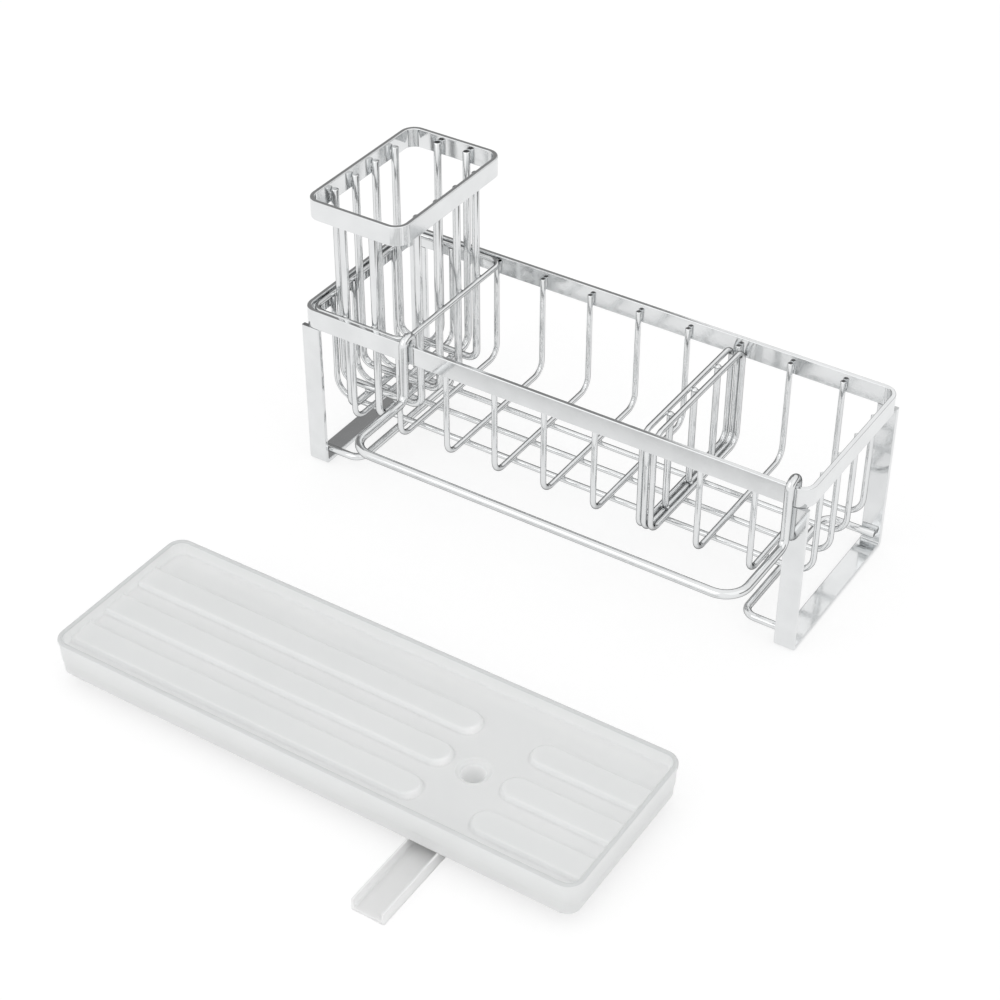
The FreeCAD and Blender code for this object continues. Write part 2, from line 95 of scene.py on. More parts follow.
@dataclass
class BentPath:
    """Corner points of a bent wire or strip, with its bends and its ends."""

    points: list[Vector]
    bend: float | list[float]
    end: WireEnd

    BROKEN_EDGE_SHARE = 0.22
    DOME_STEPS = 6

    def cut(self, radius: float) -> Profile:
        """List how the girth grows from an end inwards.

        Args:
            radius: Radius of the wire.

        Returns:
            Pairs of a distance from the end and the share of the full girth there.
        """
        if self.end is WireEnd.SHEARED:
            return [(0.0, 1.0 - self.BROKEN_EDGE_SHARE), (self.BROKEN_EDGE_SHARE * radius, 1.0)]
        if self.end is WireEnd.DOMED:
            turns = [math.pi / 2 * step / self.DOME_STEPS for step in range(1, self.DOME_STEPS + 1)]
            return [(radius * (1.0 - math.cos(turn)), math.sin(turn)) for turn in turns]
        return [(0.0, 1.0)]

    def laid_out(self, radius: float) -> Iterator[tuple[Vector, float, float]]:
        """Yield each point of the path with its bend and its share of the girth.

        Args:
            radius: Radius of the wire.

        Yields:
            A place, the radius of the bend there and the share of the girth there.
        """
        bends = self.bend if isinstance(self.bend, list) else [self.bend] * len(self.points)
        if self.end is WireEnd.CLOSED:
            for point, bend in zip(self.points, bends):
                yield point, bend, 1.0
            return
        steps = self.cut(radius)
        first, second = self.points[:2]
        inwards = (second - first).normalized()
        for distance, girth in steps:
            yield first + inwards * distance, 0.0, girth
        for point, bend in zip(self.points[1:-1], bends[1:-1]):
            yield point, bend, 1.0
        before, last = self.points[-2:]
        inwards = (before - last).normalized()
        for distance, girth in reversed(steps):
            yield last + inwards * distance, 0.0, girth


def path_mesh(name: str, paths: Sequence[BentPath], radius: float) -> bpy.types.Mesh:
    """Lay paths out as loose edges that carry their bends and their girth.

    Args:
        name: Name of the mesh.
        paths: The paths, one chain of edges each.
        radius: Radius of the wire.

    Returns:
        A mesh of edges with the point attributes bend and girth.
    """
    points: list[Vector] = []
    edges: list[tuple[int, int]] = []
    values: dict[str, list[float]] = {"bend": [], "girth": []}
    for path in paths:
        first = len(points)
        for point, bend, girth in path.laid_out(radius):
            points.append(point)
            values["bend"].append(bend)
            values["girth"].append(girth)
        last = len(points) - 1
        edges += [(index, index + 1) for index in range(first, last)]
        if path.end is WireEnd.CLOSED:
            edges.append((last, first))
    mesh = bpy.data.meshes.new(name)
    mesh.from_pydata(points, edges, [])
    for label, numbers in values.items():
        mesh.attributes.new(label, "FLOAT", "POINT").data.foreach_set("value", numbers)
    return mesh


def put_node(tree: bpy.types.NodeTree, kind: str, feeds: Feeds, settings: Feeds) -> bpy.types.Node:
    """Add a node to a tree, set its properties and feed its inputs.

    Args:
        tree: The tree that takes the node.
        kind: Full kind of the node.
        feeds: What each named input takes: a socket or a constant.
        settings: Values of the node's own properties.

    Returns:
        The node.
    """
    node = tree.nodes.new(kind)
    for label, value in settings.items():
        setattr(node, label, value)
    for label, value in feeds.items():
        target = next(item for item in node.inputs if item.enabled and item.name == label)
        if isinstance(value, bpy.types.NodeSocket):
            tree.links.new(value, target)
        else:
            target.default_value = value
    return node


class Tree:
    """A geometry node tree under construction, with named inputs for its sizes."""

    def __init__(self, name: str) -> None:
        """Start a tree that takes a path and gives a mesh.

        Args:
            name: Name of the tree.
        """
        self.group = bpy.data.node_groups.new(name, "GeometryNodeTree")
        self.source = self.group.nodes.new("NodeGroupInput")
        self.sink = self.group.nodes.new("NodeGroupOutput")
        self.group.interface.new_socket("Mesh", in_out="OUTPUT", socket_type="NodeSocketGeometry")
        self.path = self.given("Path", "Geometry")

    def given(self, name: str, kind: str = "Float") -> bpy.types.NodeSocket:
        """Add a named input.

        Args:
            name: Name of the input.
            kind: Kind of its socket.

        Returns:
            The socket that the input comes out of.
        """
        self.group.interface.new_socket(name, in_out="INPUT", socket_type=f"NodeSocket{kind}")
        return self.source.outputs[name]

    def add(self, kind: str, feeds: Feeds, **settings: object) -> bpy.types.NodeSocket:
        """Add a node.

        Args:
            kind: Kind of the node, without the prefix that geometry nodes share.
            feeds: What each named input takes: a socket or a constant.
            settings: Values of the node's own properties.

        Returns:
            The first output in use.
        """
        full_kind = kind if kind.startswith("Function") else f"GeometryNode{kind}"
        node = put_node(self.group, full_kind, feeds, settings)
        return next(item for item in node.outputs if item.enabled)

    def attribute(self, name: str, kind: str = "FLOAT") -> bpy.types.NodeSocket:
        """Return the socket of a named attribute of the path."""
        return self.add("InputNamedAttribute", {"Name": name}, data_type=kind)

    def finish(self, shape: bpy.types.NodeSocket) -> None:
        """Realize what was built, give it its material and lead it out of the tree.

        Args:
            shape: The finished shape, with its instances.
        """
        realized = self.add("RealizeInstances", {"Geometry": shape})
        finish = self.given("Finish", "Material")
        dressed = self.add("SetMaterial", {"Geometry": realized, "Material": finish})
        self.group.links.new(dressed, self.sink.inputs["Mesh"])


def sweep_tree(section: Section) -> Tree:
    """Build the tree that sweeps a section along bent paths and sets the result out in a row.

    Args:
        section: The shape that is swept.

    Returns:
        The tree, with its sizes as named inputs.
    """
    side_corners = 4
    tree = Tree(section.value)
    curve = tree.add("MeshToCurve", {"Mesh": tree.path})
    bent = tree.add("FilletCurve", {
        "Curve": curve, "Count": tree.given("Bend Count", "Int"), "Radius": tree.attribute("bend"),
        "Limit Radius": True}, mode="POLY")
    if section is Section.ROUND:
        profile = tree.add("CurvePrimitiveCircle", {
            "Resolution": tree.given("Section Count", "Int"), "Radius": tree.given("Wire Radius")})
    else:
        bent = tree.add("SetCurveNormal", {"Curve": bent}, mode="Z_UP")
        blank = tree.add("CurvePrimitiveQuadrilateral", {
            "Width": tree.given("Level Width"), "Height": tree.given("Other Width")})
        profile = tree.add("FilletCurve", {
            "Curve": blank, "Count": tree.given("Section Count", "Int"),
            "Radius": tree.given("Edge Radius"), "Limit Radius": True}, mode="POLY")
    swept = tree.add("CurveToMesh", {
        "Curve": bent, "Profile Curve": profile, "Scale": tree.attribute("girth"), "Fill Caps": True})
    smooth = tree.add("SetShadeSmooth", {"Geometry": swept, "Shade Smooth": True})
    corners = tree.add("InputMeshFaceNeighbors", {})
    on_cap = tree.add("FunctionNodeCompare", {"A": corners, "B": side_corners},
                      data_type="INT", operation="GREATER_THAN")
    shaded = tree.add("SetShadeSmooth", {"Geometry": smooth, "Selection": on_cap, "Shade Smooth": False})
    marked = tree.add("StoreNamedAttribute", {
        "Geometry": shaded, "Selection": on_cap, "Name": "cut", "Value": tree.given("End Darkening")},
        data_type="FLOAT", domain="FACE")
    row = tree.add("MeshLine", {
        "Count": tree.given("Row Count", "Int"),
        "Offset": tree.given("Row Pitch", "Vector")}, mode="OFFSET")
    tree.finish(tree.add("InstanceOnPoints", {"Points": row, "Instance": marked}))
    return tree


def weld_tree() -> Tree:
    """Build the tree that sets a flattened bead at each weld.

    Returns:
        The tree, which takes points that carry the beads' half sizes.
    """
    tree = Tree("weld_beads")
    bead = tree.add("MeshIcoSphere", {"Radius": 1.0, "Subdivisions": tree.given("Bead Detail", "Int")})
    smooth = tree.add("SetShadeSmooth", {"Geometry": bead, "Shade Smooth": True})
    tree.finish(tree.add("InstanceOnPoints", {
        "Points": tree.path, "Instance": smooth, "Scale": tree.attribute("spread", "FLOAT_VECTOR")}))
    return tree


def as_plain_mesh(host: bpy.types.Object) -> None:
    """Turn what an object's modifiers make into its own mesh, and drop the modifiers.

    Args:
        host: The object.
    """
    name, before = host.name, host.data
    graph = bpy.context.evaluated_depsgraph_get()
    made = bpy.data.meshes.new_from_object(host.evaluated_get(graph), depsgraph=graph)
    host.modifiers.clear()
    host.data = made
    bpy.data.meshes.remove(before)
    made.name = name


def level_normals(host: bpy.types.Object) -> None:
    """Keep flat faces flat where they run into rounded edges.

    Args:
        host: The object, which keeps no modifier.
    """
    modifier = host.modifiers.new("level_normals", "WEIGHTED_NORMAL")
    modifier.keep_sharp = True
    as_plain_mesh(host)


def shown(name: str, mesh: bpy.types.Mesh) -> bpy.types.Object:
    """Add an object that shows a mesh.

    Args:
        name: Name of the object.
        mesh: The mesh.

    Returns:
        The object, at the origin.
    """
    host = bpy.data.objects.new(name, mesh)
    bpy.context.scene.collection.objects.link(host)
    return host


def grow(name: str, tree: Tree, path: bpy.types.Mesh, values: Feeds) -> bpy.types.Object:
    """Run a tree on a path and keep the result as a plain mesh.

    Args:
        name: Name of the piece.
        tree: The tree to run.
        path: The mesh that the tree takes.
        values: Value of each of the tree's named inputs.

    Returns:
        The finished object, without modifiers.
    """
    host = shown(name, path)
    modifier = host.modifiers.new(tree.group.name, "NODES")
    modifier.node_group = tree.group
    for item in tree.group.interface.items_tree:
        if item.in_out == "INPUT" and item.name in values:
            modifier[item.identifier] = values[item.name]
    as_plain_mesh(host)
    return host


def middle(node: str) -> Vector:
    """Return the middle of a node's box."""
    low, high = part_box(node)
    return (low + high) / 2


def half_size(node: str, axis: Axis) -> float:
    """Return half of a node's extent along an axis."""
    low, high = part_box(node)
    return (high[axis.value] - low[axis.value]) / 2


def numbered(stem: str) -> list[str]:
    """List the nodes that share a stem, in the order of their numbers."""
    found = [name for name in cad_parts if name.rpartition("_")[0] == stem]
    return sorted(found, key=lambda name: int(name.rpartition("_")[2]))


def hanging_path(node: str, thin: Axis, bend: float) -> BentPath:
    """Return the path of an upright U of wire.

    Args:
        node: The node that it follows.
        thin: The level axis across the U.
        bend: Radius of the bends at its bottom.

    Returns:
        The path along the middle of the wire.
    """
    low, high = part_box(node)
    radius = half_size(node, thin)
    run = Axis.Y if thin is Axis.X else Axis.X
    place = middle(node)

    def at(level: float, height: float) -> Vector:
        """Return the point of the U at a place along its run and a height."""
        return Vector((place.x, level, height) if run is Axis.Y else (level, place.y, height))

    start, stop = low[run.value] + radius, high[run.value] - radius
    bottom = low.z + radius
    points = [at(start, high.z), at(start, bottom), at(stop, bottom), at(stop, high.z)]
    return BentPath(points, bend, WireEnd.SHEARED)


def loop_path(node: str, thin: Axis, inset: float, bend: float) -> BentPath:
    """Return the path of a closed rectangle of wire or band.

    Args:
        node: The node that it follows.
        thin: The axis across the loop.
        inset: Distance from the node's outer faces to the path.
        bend: Radius of the corners on the path.

    Returns:
        The path along the middle of the wire or band.
    """
    low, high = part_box(node)
    first, second = [axis.value for axis in Axis if axis is not thin]
    points = []
    for one, two in ((low, low), (high, low), (high, high), (low, high)):
        point = middle(node)
        point[first] = one[first] + math.copysign(inset, point[first] - one[first])
        point[second] = two[second] + math.copysign(inset, point[second] - two[second])
        points.append(point)
    return BentPath(points, bend, WireEnd.CLOSED)


@dataclass(frozen=True)
class Trees:
    """The node trees that the sub-assemblies share."""

    wires: Tree
    strips: Tree
    welds: Tree


@dataclass
class SubAssembly:
    """A body of the part and the pieces that ride on it."""

    trees: Trees
    finish: bpy.types.Material
    strip_finish: bpy.types.Material | None = None
    body: str = ""
    slot: Slot = Slot.CHROME
    bend_count: int = 10
    wire_sides: int = 20
    edge_radius: float = 0.0006
    edge_count: int = 4
    cut_end_darkening: float = 1.0
    strip_end_darkening: float = 0.4
    bead_detail: int = 2
    pieces: list[bpy.types.Object] = field(default_factory=list)

    def build(self) -> None:
        """Build every piece of the body."""
        raise NotImplementedError

    def keep(self, piece: bpy.types.Object, nodes: Sequence[str] = ()) -> None:
        """Attach a finished piece to the body.

        Args:
            piece: The finished object.
            nodes: Nodes of the frame that it stands for.
        """
        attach(piece, self.body)
        if nodes:
            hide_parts(*nodes)
        self.pieces.append(piece)

    def add_wires(self, name: str, paths: Sequence[BentPath], radius: float, nodes: Sequence[str],
                  row: bool = False, end_darkening: float = 0.0) -> None:
        """Sweep wires and keep them as one piece.

        Args:
            name: Name of the piece.
            paths: Paths of the wires, or of the first one of a row.
            radius: Radius of the wire.
            nodes: The nodes that the piece stands for.
            row: Whether one path is set out once for each node.
            end_darkening: How far the cut ends are darkened.
        """
        pitch = middle(nodes[1]) - middle(nodes[0]) if row else Vector()
        piece = grow(name, self.trees.wires, path_mesh(name, paths, radius), {
            "Wire Radius": radius, "Section Count": self.wire_sides, "Bend Count": self.bend_count,
            "Row Count": len(nodes) if row else 1, "Row Pitch": list(pitch), "End Darkening": end_darkening,
            "Finish": self.finish})
        self.keep(piece, nodes)

    def add_strips(self, name: str, path: BentPath, level: float, other: float,
                   nodes: Sequence[str]) -> None:
        """Sweep a flat strip, set out once for each node, and keep it as one piece.

        Args:
            name: Name of the piece.
            path: Path of the first strip.
            level: The strip's level width.
            other: Its other width, square to the first.
            nodes: The nodes that the piece stands for.
        """
        pitch = middle(nodes[1]) - middle(nodes[0]) if len(nodes) > 1 else Vector()
        piece = grow(name, self.trees.strips, path_mesh(name, [path], other / 2), {
            "Level Width": level, "Other Width": other, "Edge Radius": self.edge_radius,
            "Section Count": self.edge_count, "Bend Count": self.bend_count,
            "Row Count": len(nodes), "Row Pitch": list(pitch), "End Darkening": self.strip_end_darkening,
            "Finish": self.strip_finish})
        level_normals(piece)
        self.keep(piece, nodes)

    def add_welds(self, name: str, beads: Sequence[tuple[Vector, Vector]]) -> None:
        """Set weld beads and keep them as one piece.

        Args:
            name: Name of the piece.
            beads: The middle of each bead and its half sizes.
        """
        points = bpy.data.meshes.new(name)
        points.from_pydata([place for place, _ in beads], [], [])
        spread = points.attributes.new("spread", "FLOAT_VECTOR", "POINT")
        spread.data.foreach_set("vector", [size for _, half in beads for size in half])
        sizes = {"Bead Detail": self.bead_detail, "Finish": self.finish}
        self.keep(grow(name, self.trees.welds, points, sizes))


@dataclass
class Rack(SubAssembly):
    """The welded rack: rim, legs, tray rails and basket wires."""

    body: str = "rack"
    rim_band: float = 0.003
    rim_corner: float = 0.010
    leg_strip: float = 0.003
    leg_bend: float = 0.004
    rail_bend: float = 0.008
    cross_bend: float = 0.009
    floor_bend: float = 0.013
    crossing_bead: Vector = field(default_factory=lambda: Vector((0.0021, 0.0021, 0.0011)))
    bead_width: float = 0.0018
    bead_depth: float = 0.0006
    bead_length: float = 0.0034

    def build(self) -> None:
        """Build every piece of the rack."""
        self.build_rim()
        self.build_legs()
        self.build_rails()
        cross, floor = numbered("cross_wire"), numbered("floor_wire")
        self.add_wires("cross_wires", [hanging_path(cross[0], Axis.X, self.cross_bend)],
                       half_size(cross[0], Axis.X), cross, row=True, end_darkening=self.cut_end_darkening)
        self.add_wires("floor_wires", [hanging_path(floor[0], Axis.Y, self.floor_bend)],
                       half_size(floor[0], Axis.Y), floor, row=True)
        self.build_welds(cross, floor)

    def build_rim(self) -> None:
        """Build the rim: a band on edge, bent into a rounded rectangle."""
        path = loop_path("basket_rim", Axis.Z, self.rim_band / 2, self.rim_corner - self.rim_band / 2)
        self.add_strips("rim_band", path, self.rim_band, 2 * half_size("basket_rim", Axis.Z),
                        ["basket_rim"])

    def build_legs(self) -> None:
        """Build both legs: strips bent into a U."""
        half = self.leg_strip / 2
        low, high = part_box("left_leg")
        x = middle("left_leg").x
        points = [Vector((x, low.y + half, high.z)), Vector((x, low.y + half, low.z + half)),
                  Vector((x, high.y - half, low.z + half)), Vector((x, high.y - half, high.z))]
        path = BentPath(points, self.leg_bend - half, WireEnd.SQUARE)
        self.add_strips("leg_strips", path, high.x - low.x, self.leg_strip, ["left_leg", "right_leg"])

    def build_rails(self) -> None:
        """Build both tray rails: level staples of thick wire."""
        radius = half_size("left_tray_rail", Axis.Z)
        paths = []
        for node in ("left_tray_rail", "right_tray_rail"):
            low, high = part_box(node)
            height = middle(node).z
            outer, inner = low.x, high.x - radius
            if node.startswith("right"):
                outer, inner = high.x, low.x + radius
            front, back = low.y + radius, high.y - radius
            points = [Vector((x, y, height)) for x, y in
                      ((outer, front), (inner, front), (inner, back), (outer, back))]
            paths.append(BentPath(points, self.rail_bend, WireEnd.SHEARED))
        self.add_wires("tray_rails", paths, radius, ["left_tray_rail", "right_tray_rail"])

    def build_welds(self, cross: Sequence[str], floor: Sequence[str]) -> None:
        """Set the beads where wires cross and where they meet the rim and the posts.

        Args:
            cross: The cross wires.
            floor: The floor wires.
        """
        width, depth, length = self.bead_width, self.bead_depth, self.bead_length
        rim_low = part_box("basket_rim")[0].z
        beads = []
        for one in cross:
            low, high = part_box(one)
            x, height = middle(one).x, (rim_low + high.z) / 2
            beads += [(Vector((x, middle(two).y, low.z)), self.crossing_bead) for two in floor]
            half = Vector((width, depth, length))
            beads += [(Vector((x, y, height)), half) for y in (low.y, high.y)]
        for two in floor:
            low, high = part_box(two)
            y, height = middle(two).y, (rim_low + high.z) / 2
            half = Vector((depth, width, length))
            beads += [(Vector((x, y, height)), half) for x in (low.x, high.x)]
        for side in ("left", "right"):
            low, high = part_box(f"{side}_tray_rail")
            x, height = middle(f"{side}_leg").x, (low.z + high.z) / 2
            half = Vector((length, depth, width))
            beads += [(Vector((x, y, height)), half) for y in (low.y, high.y)]
        self.add_welds("rack_welds", beads)


@dataclass
class UtensilHolder(SubAssembly):
    """The lift-out holder: top band, seat ring and bent wires."""

    body: str = "utensil_holder"
    band: float = 0.003
    corner: float = 0.010
    ring_bend: float = 0.008
    wire_bend: float = 0.008
    crossing_bead: Vector = field(default_factory=lambda: Vector((0.0027, 0.0027, 0.0013)))
    bead_width: float = 0.0022
    bead_depth: float = 0.0006
    bead_length: float = 0.0030

    def build(self) -> None:
        """Build every piece of the holder."""
        path = loop_path("utensil_band", Axis.Z, self.band / 2, self.corner - self.band / 2)
        self.add_strips("holder_band", path, self.band, 2 * half_size("utensil_band", Axis.Z),
                        ["utensil_band"])
        radius = half_size("utensil_ring", Axis.Z)
        self.add_wires("holder_ring", [loop_path("utensil_ring", Axis.Z, radius, self.ring_bend)],
                       radius, ["utensil_ring"])
        sides, ends = numbered("utensil_side_wire"), numbered("utensil_end_wire")
        self.add_wires("holder_side_wires", [hanging_path(sides[0], Axis.Y, self.wire_bend)],
                       half_size(sides[0], Axis.Y), sides, row=True)
        self.add_wires("holder_end_wires", [hanging_path(ends[0], Axis.X, self.wire_bend)],
                       half_size(ends[0], Axis.X), ends, row=True, end_darkening=self.cut_end_darkening)
        self.build_welds(sides, ends)

    def build_welds(self, sides: Sequence[str], ends: Sequence[str]) -> None:
        """Set the beads where wires cross and where they meet the band and the ring.

        Args:
            sides: The wires across the holder.
            ends: The wires along the holder.
        """
        width, depth = self.bead_width, self.bead_depth
        at_band = (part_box("utensil_band")[0].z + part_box(sides[0])[1].z) / 2
        rows = ((at_band, self.bead_length), (middle("utensil_ring").z, width))
        beads = []
        for wire in sides:
            low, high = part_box(wire)
            beads += [(Vector((x, middle(wire).y, height)), Vector((depth, width, length)))
                      for height, length in rows for x in (low.x, high.x)]
        for wire in ends:
            low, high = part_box(wire)
            beads += [(Vector((middle(wire).x, y, height)), Vector((width, depth, length)))
                      for height, length in rows for y in (low.y, high.y)]
        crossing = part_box(sides[0])[0].z
        beads += [(Vector((middle(end).x, middle(side).y, crossing)), self.crossing_bead)
                  for end in ends for side in sides]
        self.add_welds("holder_welds", beads)


@dataclass
class Divider(SubAssembly):
    """The lift-out divider: two wire frames with upright bars between them."""

    body: str = "divider"
    frame_bend: float = 0.008
    bead: Vector = field(default_factory=lambda: Vector((0.0006, 0.0015, 0.0013)))
    foot_bead: Vector = field(default_factory=lambda: Vector((0.001, 0.0015, 0.001)))

    def build(self) -> None:
        """Build the frames, the bars and their welds."""
        frames = ["divider_frame_left", "divider_frame_right"]
        wire = half_size(frames[0], Axis.X)
        self.add_wires("divider_frames", [loop_path(frames[0], Axis.X, wire, self.frame_bend)],
                       wire, frames, row=True)
        bars = numbered("divider_bar")
        place = middle(bars[0])
        ends = [Vector((place.x, place.y, corner.z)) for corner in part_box(bars[0])]
        self.add_wires("divider_bars", [BentPath(ends, 0.0, WireEnd.DOMED)],
                       half_size(bars[0], Axis.X), bars, row=True)
        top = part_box(frames[0])[1].z - wire
        beads = []
        for bar in bars:
            low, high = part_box(bar)
            for height, bead in ((low.z, self.foot_bead), (top, self.bead)):
                beads += [(Vector((x, middle(bar).y, height)), bead) for x in (low.x, high.x)]
        self.add_welds("divider_welds", beads)


@dataclass
class TowelBar(SubAssembly):
    """The hook-on towel bar: one thick wire with a hook at each end."""

    body: str = "towel_bar"
    wire_sides: int = 28
    wire: float = 0.0055
    knee: float = 0.006
    corner: float = 0.015
    hook_turn: float = 0.00455
    hook_length: float = 0.01055

    def build(self) -> None:
        """Build the bar along its hooks, arms and front rail."""
        radius = self.wire / 2
        low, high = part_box("towel_bar")
        left, right = low.x + radius, high.x - radius
        front, back = low.y + radius, high.y - radius
        bottom, crown = low.z + radius, high.z - radius
        outer = back - 2 * self.hook_turn
        side = [(back, crown - self.hook_length), (back, crown), (outer, crown), (outer, bottom),
                (front, bottom)]
        points = [Vector((left, y, z)) for y, z in side]
        points += [Vector((right, y, z)) for y, z in reversed(side)]
        bends = [0.0, self.hook_turn, self.hook_turn, self.knee, self.corner]
        path = BentPath(points, bends + bends[::-1], WireEnd.SHEARED)
        self.add_wires("towel_rail", [path], radius, ["towel_bar"])


def split(start: float, stop: float, step: float) -> list[float]:
    """List evenly spaced places from start up to, but without, stop.

    Args:
        start: First place.
        stop: Place that the list stops short of.
        step: Largest distance between two places.

    Returns:
        The places in rising order.
    """
    count = max(1, math.ceil((stop - start) / step - SPLIT_SLACK))
    return [start + (stop - start) * index / count for index in range(count)]


def graded(start: float, spans: Profile) -> list[float]:
    """List places along a row of spans, each with its own step.

    Args:
        start: First place.
        spans: Where each span ends, with the largest step in it.

    Returns:
        The places in rising order, with the start and the last end.
    """
    places = []
    for stop, step in spans:
        places += split(start, stop, step)
        start = stop
    return places + [start]


@dataclass
class Moulding(SubAssembly):
    """A plastic piece whose closed shell is built row by row from a place of its own."""

    place: Vector = field(default_factory=Vector)
    mesh: bmesh.types.BMesh = field(default_factory=bmesh.new)

    def vertex(self, x: float, y: float, z: float) -> bmesh.types.BMVert:
        """Add a vertex at a place given from the piece's own place."""
        return self.mesh.verts.new(self.place + Vector((x, y, z)))

    def skin(self, rows: Sequence[Loop], closed: bool = True) -> None:
        """Join rows of vertices of the same length with faces, each row to the next one.

        Args:
            rows: The rows in order.
            closed: Whether each row runs round to its own start.
        """
        for one, two in zip(rows, rows[1:]):
            count = len(one)
            for index in range(count if closed else count - 1):
                after = (index + 1) % count
                self.mesh.faces.new((one[index], one[after], two[after], two[index]))

    def keep_shell(self, name: str) -> None:
        """Turn the shell into a smooth mesh and keep it for the node that bears the body's name.

        Args:
            name: Name of the piece.
        """
        bmesh.ops.recalc_face_normals(self.mesh, faces=self.mesh.faces)
        shell = bpy.data.meshes.new(name)
        self.mesh.to_mesh(shell)
        self.mesh.free()
        shell.shade_smooth()
        shell.materials.append(self.finish)
        piece = shown(name, shell)
        level_normals(piece)
        self.keep(piece, [self.body])


@dataclass
class DripTray(Moulding):
    """The moulded tray: stepped wall, rounded lip, ribbed floor, drain and hollow underside."""

    body: str = "drip_tray"
    slot: Slot = Slot.TRAY
    corner: float = 0.010
    height: float = 0.023
    floor_top: float = 0.0138
    floor_under: float = 0.0116
    floor_inset: float = 0.0046
    under_inset: float = 0.0040
    well_inset: float = 0.0030
    lip_rounding: float = 0.0012
    # Depth below the top that takes the painted shade of the lip.
    lip_shade_depth: float = 0.0009
    rib_height: float = 0.003
    rib_width: float = 0.017
    rib_pitch: float = 0.029
    rib_edge: float = 0.0008
    # Size, facing and falloff of the painted highlight on the rib tips.
    gleam_depth: float = 0.0028
    gleam_way: tuple[float, float] = (0.85, -0.5)
    gleam_sharpness: int = 6
    pool_left: float = 0.015
    pool_right: float = 0.019
    drain_half: float = 0.0125
    bore: float = 0.007
    spigot: float = 0.0085
    spigot_edge: float = 0.0003
    spigot_edge_height: float = 0.0004
    bore_top_drop: float = 0.0024
    # Strength of the painted glow on the bore's wall.
    painted_glow_strength: float = 0.13
    fine: float = 0.0006
    medium: float = 0.0011
    coarse: float = 0.012
    core: Vector = field(init=False)
    drain: Vector = field(init=False)
    spigot_low: float = field(init=False)
    lip: bmesh.types.BMLayerItem = field(init=False)
    gleam: bmesh.types.BMLayerItem = field(init=False)
    painted_glow: bmesh.types.BMLayerItem = field(init=False)
    lines_x: list[float] = field(init=False)
    lines_y: list[float] = field(init=False)

    RIB_ROWS = (-1, 0, 1)
    # The wall's section: an inset from the outline, and then a rise above the floor, a drop below
    # the top, a height above the foot or a drop below the floor's lower face.
    WELL_RISES = ((0.0038, 0.0002), (0.0034, 0.0006), (0.0032, 0.0012))
    LIP_DROPS = ((0.0029, 0.0007), (0.0026, 0.0003), (0.0021, 0.0), (0.0011, 0.0), (0.0006, 0.0002),
                 (0.0002, 0.0006), (0.0, 0.0011), (0.0, 0.0024), (0.0002, 0.0028), (0.0007, 0.0030),
                 (0.0007, 0.0036))
    WALL_HEIGHTS = ((0.0010, 0.0088), (0.0011, 0.0082), (0.0016, 0.0078), (0.0017, 0.0072),
                    (0.0018, 0.0006), (0.0020, 0.0001), (0.0024, 0.0), (0.0030, 0.0), (0.0033, 0.0003),
                    (0.0034, 0.0008))
    SKIRT_DROPS = ((0.0032, 0.0010), (0.0034, 0.0004))
    # The drain's section: a radius of the dish and its rise above the floor, and what the spigot
    # grows by at its root and the drop below the floor's lower face.
    DISH_RISES = ((0.0113, 0.0), (0.0106, 0.0002), (0.0101, 0.0002), (0.0096, -0.0001),
                  (0.0092, -0.0006), (0.0082, -0.0008), (0.0078, -0.0010), (0.0072, -0.0017))
    ROOT_DROPS = ((0.0, 0.0008), (0.0003, 0.0002), (0.0010, 0.0))

    def build(self) -> None:
        """Build the tray as one closed skin."""
        low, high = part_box("drip_tray")
        self.place = Vector(((low.x + high.x) / 2, (low.y + high.y) / 2, high.z - self.height))
        self.core = Vector((half_size("drip_tray", Axis.X) - self.corner,
                            half_size("drip_tray", Axis.Y) - self.corner))
        self.spigot_low = low.z - self.place.z
        spout_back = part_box("drain_spout")[1].y
        self.drain = Vector((middle("drain_spout").x - self.place.x,
                             spout_back - half_size("drain_spout", Axis.X) - self.place.y))
        # Marks for painted light: painted shade on the lip, a painted highlight on the rib tips and a
        # painted glow in the bore.
        self.lip, self.gleam, self.painted_glow = [
            self.mesh.verts.layers.float.new(name) for name in ("lip", "gleam", "painted_glow")]
        self.lines_x, self.lines_y = self.grid_lines()
        top = self.build_floor(self.floor_inset, self.floor_top, ribbed=True)
        under = self.build_floor(self.under_inset, self.floor_under, ribbed=False)
        self.build_wall(top, under)
        self.build_drain(top, under)
        self.keep_shell("tray_shell")

    def grid_lines(self) -> tuple[list[float], list[float]]:
        """Choose the floor's grid lines, close together at the ribs' edges and at the drain.

        Returns:
            Places along X and along Y from the tray's middle.
        """
        round_end, edge = self.rib_width / 2, self.rib_edge
        corner = self.corner - self.floor_inset
        x, y = self.drain
        left_tip, right_tip = x - self.pool_left, x + self.pool_right
        spans_x = [(-self.core.x, self.medium), (left_tip - round_end - edge, self.coarse),
                   (x - self.drain_half, self.fine), (x + self.drain_half, self.medium),
                   (right_tip - edge, self.medium), (right_tip + round_end + edge, self.fine),
                   (self.core.x, self.coarse), (self.core.x + corner, self.medium)]
        spans_y = [(-self.core.y, self.medium)]
        for step in self.RIB_ROWS:
            # The drain's edges lie before the middle rib and before the last one.
            if step >= 0:
                drain_edge = y + self.drain_half if step else y - self.drain_half
                spans_y.append((drain_edge, 2 * self.medium))
            for side, between in ((-1, 2 * self.medium), (1, self.medium)):
                rim = y + step * self.rib_pitch + side * round_end
                spans_y += [(rim - edge, between), (rim + edge, self.fine)]
        gap = self.rib_pitch - self.rib_width
        spans_y += [(self.core.y, gap / 2), (self.core.y + corner, self.medium)]
        return graded(-self.core.x - corner, spans_x), graded(-self.core.y - corner, spans_y)

